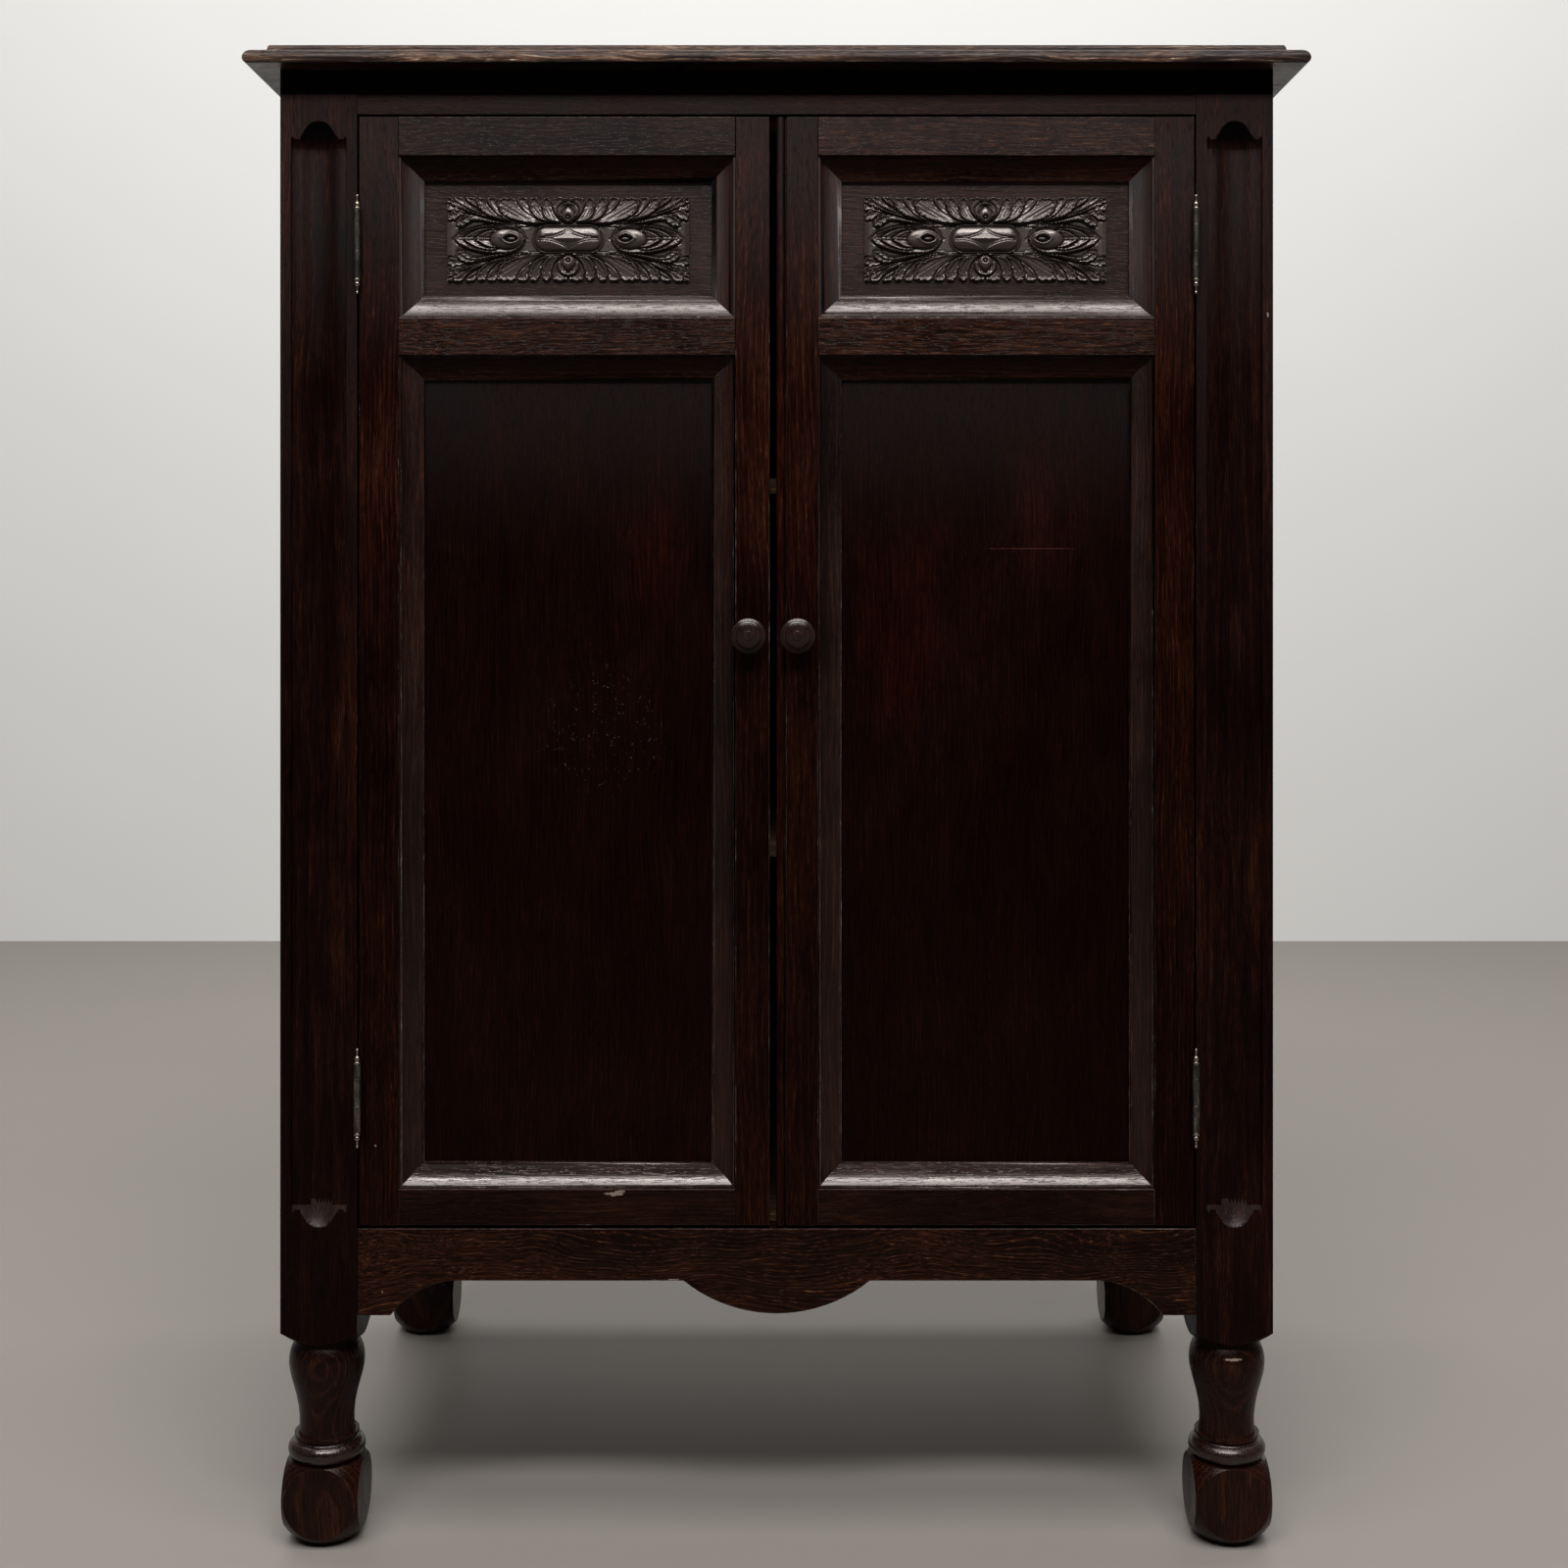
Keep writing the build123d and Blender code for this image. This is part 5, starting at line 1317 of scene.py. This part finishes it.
class CUPBOARD_OT_carvings(bpy.types.Operator):
    """Carve the acanthus plaques"""

    bl_idname = "cupboard.carvings"
    bl_label = "Carved plaques"

    def execute(self, context):
        low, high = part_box("left_carved_plaque")
        plaque = self.carve(low, high)
        twin = plaque.copy()
        twin.data = plaque.data.copy()
        context.scene.collection.objects.link(twin)
        other_low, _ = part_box("right_carved_plaque")
        only(twin)
        twin.location = other_low - low
        bpy.ops.object.transform_apply(location=True, rotation=True, scale=True)
        place_piece(plaque, "left_carved_plaque", "acanthus_left_plaque")
        place_piece(twin, "right_carved_plaque", "acanthus_right_plaque")
        return {"FINISHED"}

    def carve(self, low, high):
        """One plaque, filling the box from low to high."""
        carving = settings("carving")
        size = high - low
        middle = (low + high) / 2
        columns = int(size.x / carving.pitch)
        rows = int(size.z / carving.pitch)
        bpy.ops.object.select_all(action="DESELECT")
        bpy.ops.mesh.primitive_grid_add(x_subdivisions=columns, y_subdivisions=rows, size=1.0)
        piece = bpy.context.object
        flat = np.empty(len(piece.data.vertices) * 3)
        piece.data.vertices.foreach_get("co", flat)
        flat = flat.reshape(-1, 3)
        u = flat[:, 0] * size.x / MM
        v = flat[:, 1] * size.z / MM
        relief = plaque_relief(u, v, carving.ground / MM, carving.relief / MM)
        relief = np.clip(relief, 0.0, size.y / MM)
        grid = relief.reshape(rows + 1, columns + 1)
        sunk = 0.5 * (blurred(grid, 3) + blurred(grid, 7)) - grid
        hollow = np.clip(sunk / DEEP_HOLLOW, -1.0, 1.0)
        # face forward: x across, z up, y out of the panel
        places = np.column_stack((middle.x + u * MM, high.y - relief * MM, middle.z + v * MM))
        piece.data.vertices.foreach_set("co", places.ravel())
        layer = piece.data.attributes.new("hollow", "FLOAT", "POINT")
        layer.data.foreach_set("value", hollow.ravel())
        piece.data.update()
        waste = relief < WASTE
        only(piece)
        bpy.ops.object.mode_set(mode="EDIT")
        bpy.ops.mesh.select_all(action="DESELECT")
        bpy.ops.object.mode_set(mode="OBJECT")
        for polygon in piece.data.polygons:
            polygon.select = all(waste[k] for k in polygon.vertices)
        bpy.ops.object.mode_set(mode="EDIT")
        bpy.ops.mesh.select_mode(type="FACE")
        bpy.ops.mesh.delete(type="FACE")
        bpy.ops.mesh.select_mode(type="EDGE")
        bpy.ops.mesh.select_all(action="SELECT")
        bpy.ops.mesh.region_to_loop()
        bpy.ops.mesh.extrude_edges_move(TRANSFORM_OT_translate={"value": (0.0, 0.0, 0.0)})
        bpy.ops.transform.resize(value=(1.0, 0.0, 1.0), center_override=(middle.x, high.y, middle.z))
        bpy.ops.mesh.edge_face_add()
        bpy.ops.mesh.select_all(action="SELECT")
        bpy.ops.mesh.normals_make_consistent(inside=False)
        bpy.ops.mesh.select_mode(type="VERT")
        bpy.ops.object.mode_set(mode="OBJECT")
        across, *boss = BOSS
        # the carving is darkened in its hollows and where it faces down, as painted shade
        material = oak(
            "carving_oak", "X", (0.2, 0.1, 0.0), warmth=0.10, wave=0.6, rough=-0.05, gloss=0.80,
            wax=(1.0, 0.86, 0.78), carved=True, shade_under=0.3, pores=0.3, contrast=0.45,
            tinted_areas=[(sign * across, *boss, BOSS_TINT) for sign in SIDES.values()],
        )
        piece.data.materials.append(material)
        bpy.ops.object.shade_smooth_by_angle(angle=radians(60.0))
        return piece


# ---------------------------------------------------------------- metalwork
# how far the edges of the hinge leaves and of the smaller brass pieces are eased
LEAF_EDGE = 0.00025
SMALL_EDGE = 0.0002


class CUPBOARD_OT_metalwork(bpy.types.Operator):
    """Give the hinges, catches and screws their old metal finish"""

    bl_idname = "cupboard.metalwork"
    bl_label = "Metalwork"

    def execute(self, context):
        colours = settings("metal")
        rubs = {"old": 0.45, "rubbed": 0.62, "dull": 0.15, "bright": 0.9}
        brass = {
            name: old_metal(f"{name}_brass", colours.patina, colours.rubbed, rub)
            for name, rub in rubs.items()
        }
        steel = old_metal("dull_steel", colours.tarnish, colours.steel, 0.6)
        for node in ("left_case_leaves", "right_case_leaves", "left_door_leaves", "right_door_leaves"):
            eased(node, LEAF_EDGE, brass["old"], brass["rubbed"])
        eased("hinge_pins", SMALL_EDGE, brass["bright"], brass["rubbed"])
        for node in ("strike_plates", "left_catch_barrel", "right_catch_barrel"):
            eased(node, SMALL_EDGE, brass["dull"], brass["old"])
        screws = ("case_hinge_screws", "left_door_screws", "right_door_screws", "top_screws")
        for node in (*screws, "left_catch_ball", "right_catch_ball"):
            paint(node, steel)
        return {"FINISHED"}


# ---------------------------------------------------------------- stage
# width and depth of the floor and height of the backdrop
STAGE_WIDTH = 14.0
STAGE_DEPTH = 12.0
STAGE_HEIGHT = 5.0
# the lamps: name, setting of their power, place, aim, and size
SOFTBOXES = (
    ("overhead_softbox", "overhead", (0.0, -1.2, 3.3), (0.0, -0.3, 0.6), (3.0, 1.0)),
    ("front_softbox", "front", (0.0, -3.2, 4.1), (0.0, 0.0, 0.7), (4.0, 0.7)),
    ("backdrop_softbox", "back", (0.0, 0.8, 3.0), (0.0, 2.4, 0.4), (5.0, 0.8)),
)
# how many times paler the surroundings are behind the cupboard than in its polish
PALE = 4.5
# width of the camera's sensor in millimetres, and its shift across and up as shares of that
SENSOR = 36.0
SHIFT = (-0.0019, -0.1225)


def softbox(name, power, place, target, size):
    """A rectangular area lamp aimed at a point."""
    bpy.ops.object.light_add(type="AREA", location=place)
    lamp = bpy.context.object
    lamp.name = name
    lamp.data.shape = "RECTANGLE"
    lamp.data.size, lamp.data.size_y = size
    lamp.data.energy = power
    aim = Vector(target) - Vector(place)
    lamp.rotation_euler = aim.to_track_quat("-Z", "Y").to_euler()


def sheet(name, size, place, turn, colour, roughness):
    """A flat, slightly mottled matt sheet for the floor or the backdrop."""
    bpy.ops.object.select_all(action="DESELECT")
    bpy.ops.mesh.primitive_plane_add(size=1.0, rotation=(turn, 0.0, 0.0))
    piece = bpy.context.object
    piece.name = name
    piece.scale = (*size, 1.0)
    piece.location = place
    bpy.ops.object.transform_apply(location=True, rotation=True, scale=True)
    material, tree, shader = principled(name)
    mottle = noise(tree, add_node(tree, "TexCoord").outputs["Object"], (3.0, 3.0, 3.0), 3.0)
    dark = [0.97 * value for value in colour]
    tree.links.new(blend_colours(tree, mottle, dark, colour), shader.inputs["Base Color"])
    shader.inputs["Roughness"].default_value = roughness
    piece.data.materials.append(material)
    return piece


class CUPBOARD_OT_stage(bpy.types.Operator):
    """Set up the plain floor and backdrop, the softboxes and the camera"""

    bl_idname = "cupboard.stage"
    bl_label = "Stage"

    def execute(self, context):
        stage = settings("stage")
        scene = context.scene
        far = stage.wall_distance
        floor = sheet(
            "stage_floor", (STAGE_WIDTH, STAGE_DEPTH), (0.0, far - STAGE_DEPTH / 2, 0.0), 0.0,
            stage.floor, 0.55,
        )
        wall = sheet(
            "stage_wall", (STAGE_WIDTH, STAGE_HEIGHT), (0.0, far, STAGE_HEIGHT / 2), pi / 2,
            stage.wall, 0.85,
        )
        for name, power, place, target, size in SOFTBOXES:
            softbox(name, getattr(stage, power), place, target, size)
        scene.world = bpy.data.worlds.new("studio")
        scene.world.use_nodes = True
        tree = scene.world.node_tree
        background = next(node for node in tree.nodes if node.type == "BACKGROUND")
        # the eye and mirrored rays meet a pale backdrop all round, and the wood a faint even light
        background.inputs["Color"].default_value = (1.0, 1.0, 1.0, 1.0)
        rays = add_node(tree, "LightPath").outputs
        seen = calculate(tree, "MULTIPLY", rays["Is Camera Ray"], PALE)
        for kind in ("Is Glossy Ray", "Is Transmission Ray"):
            seen = calculate(tree, "MAXIMUM", seen, rays[kind])
        strength = calculate(tree, "MULTIPLY_ADD", seen, stage.horizon - stage.ambient, stage.ambient)
        tree.links.new(strength, background.inputs["Strength"])
        bpy.ops.object.camera_add(
            location=(stage.eye_side, -stage.eye_distance, stage.eye_height),
            rotation=(pi / 2, 0.0, 0.0),
        )
        camera = context.object
        camera.name = "camera"
        camera.data.sensor_width = SENSOR
        camera.data.lens = stage.lens
        camera.data.shift_x, camera.data.shift_y = SHIFT
        scene.camera = camera
        scene.view_settings.view_transform = "Standard"
        return {"FINISHED"}


# ---------------------------------------------------------------- panel and registration
OPERATORS = (
    CUPBOARD_OT_stage,
    CUPBOARD_OT_joinery,
    CUPBOARD_OT_panels,
    CUPBOARD_OT_top,
    CUPBOARD_OT_inside,
    CUPBOARD_OT_knobs,
    CUPBOARD_OT_carvings,
    CUPBOARD_OT_metalwork,
)
NODE_GROUPS = (
    make_oak_group,
    make_metal_group,
    make_underside_shade_group,
    make_layer_group,
    make_haze_group,
    make_spot_group,
)


class CUPBOARD_PT_sidebar(bpy.types.Panel):
    """Lists the steps of the finish with their settings"""

    bl_idname = "CUPBOARD_PT_sidebar"
    bl_label = "Court cupboard"
    bl_space_type = "VIEW_3D"
    bl_region_type = "UI"
    bl_category = "Cupboard"

    def draw(self, context):
        for operator in OPERATORS:
            self.layout.operator(operator.bl_idname)
        for name, group in SETTINGS.items():
            box = self.layout.box()
            box.label(text=name.capitalize())
            for prop in group.__annotations__:
                box.prop(settings(name), prop)


def register():
    """Registers the settings, the operators and the panel."""
    for name, group in SETTINGS.items():
        bpy.utils.register_class(group)
        setattr(bpy.types.Scene, "cupboard_" + name, PointerProperty(type=group))
    for cls in (*OPERATORS, CUPBOARD_PT_sidebar):
        bpy.utils.register_class(cls)


def unregister():
    """Takes everything out again."""
    for cls in reversed((*OPERATORS, CUPBOARD_PT_sidebar)):
        bpy.utils.unregister_class(cls)
    for name, group in SETTINGS.items():
        delattr(bpy.types.Scene, "cupboard_" + name)
        bpy.utils.unregister_class(group)


def main():
    """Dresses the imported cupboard."""
    register()
    for make in NODE_GROUPS:
        make()
    for operator in OPERATORS:
        group, name = operator.bl_idname.split(".")
        getattr(getattr(bpy.ops, group), name)()


if __name__ == "__main__":
    main()
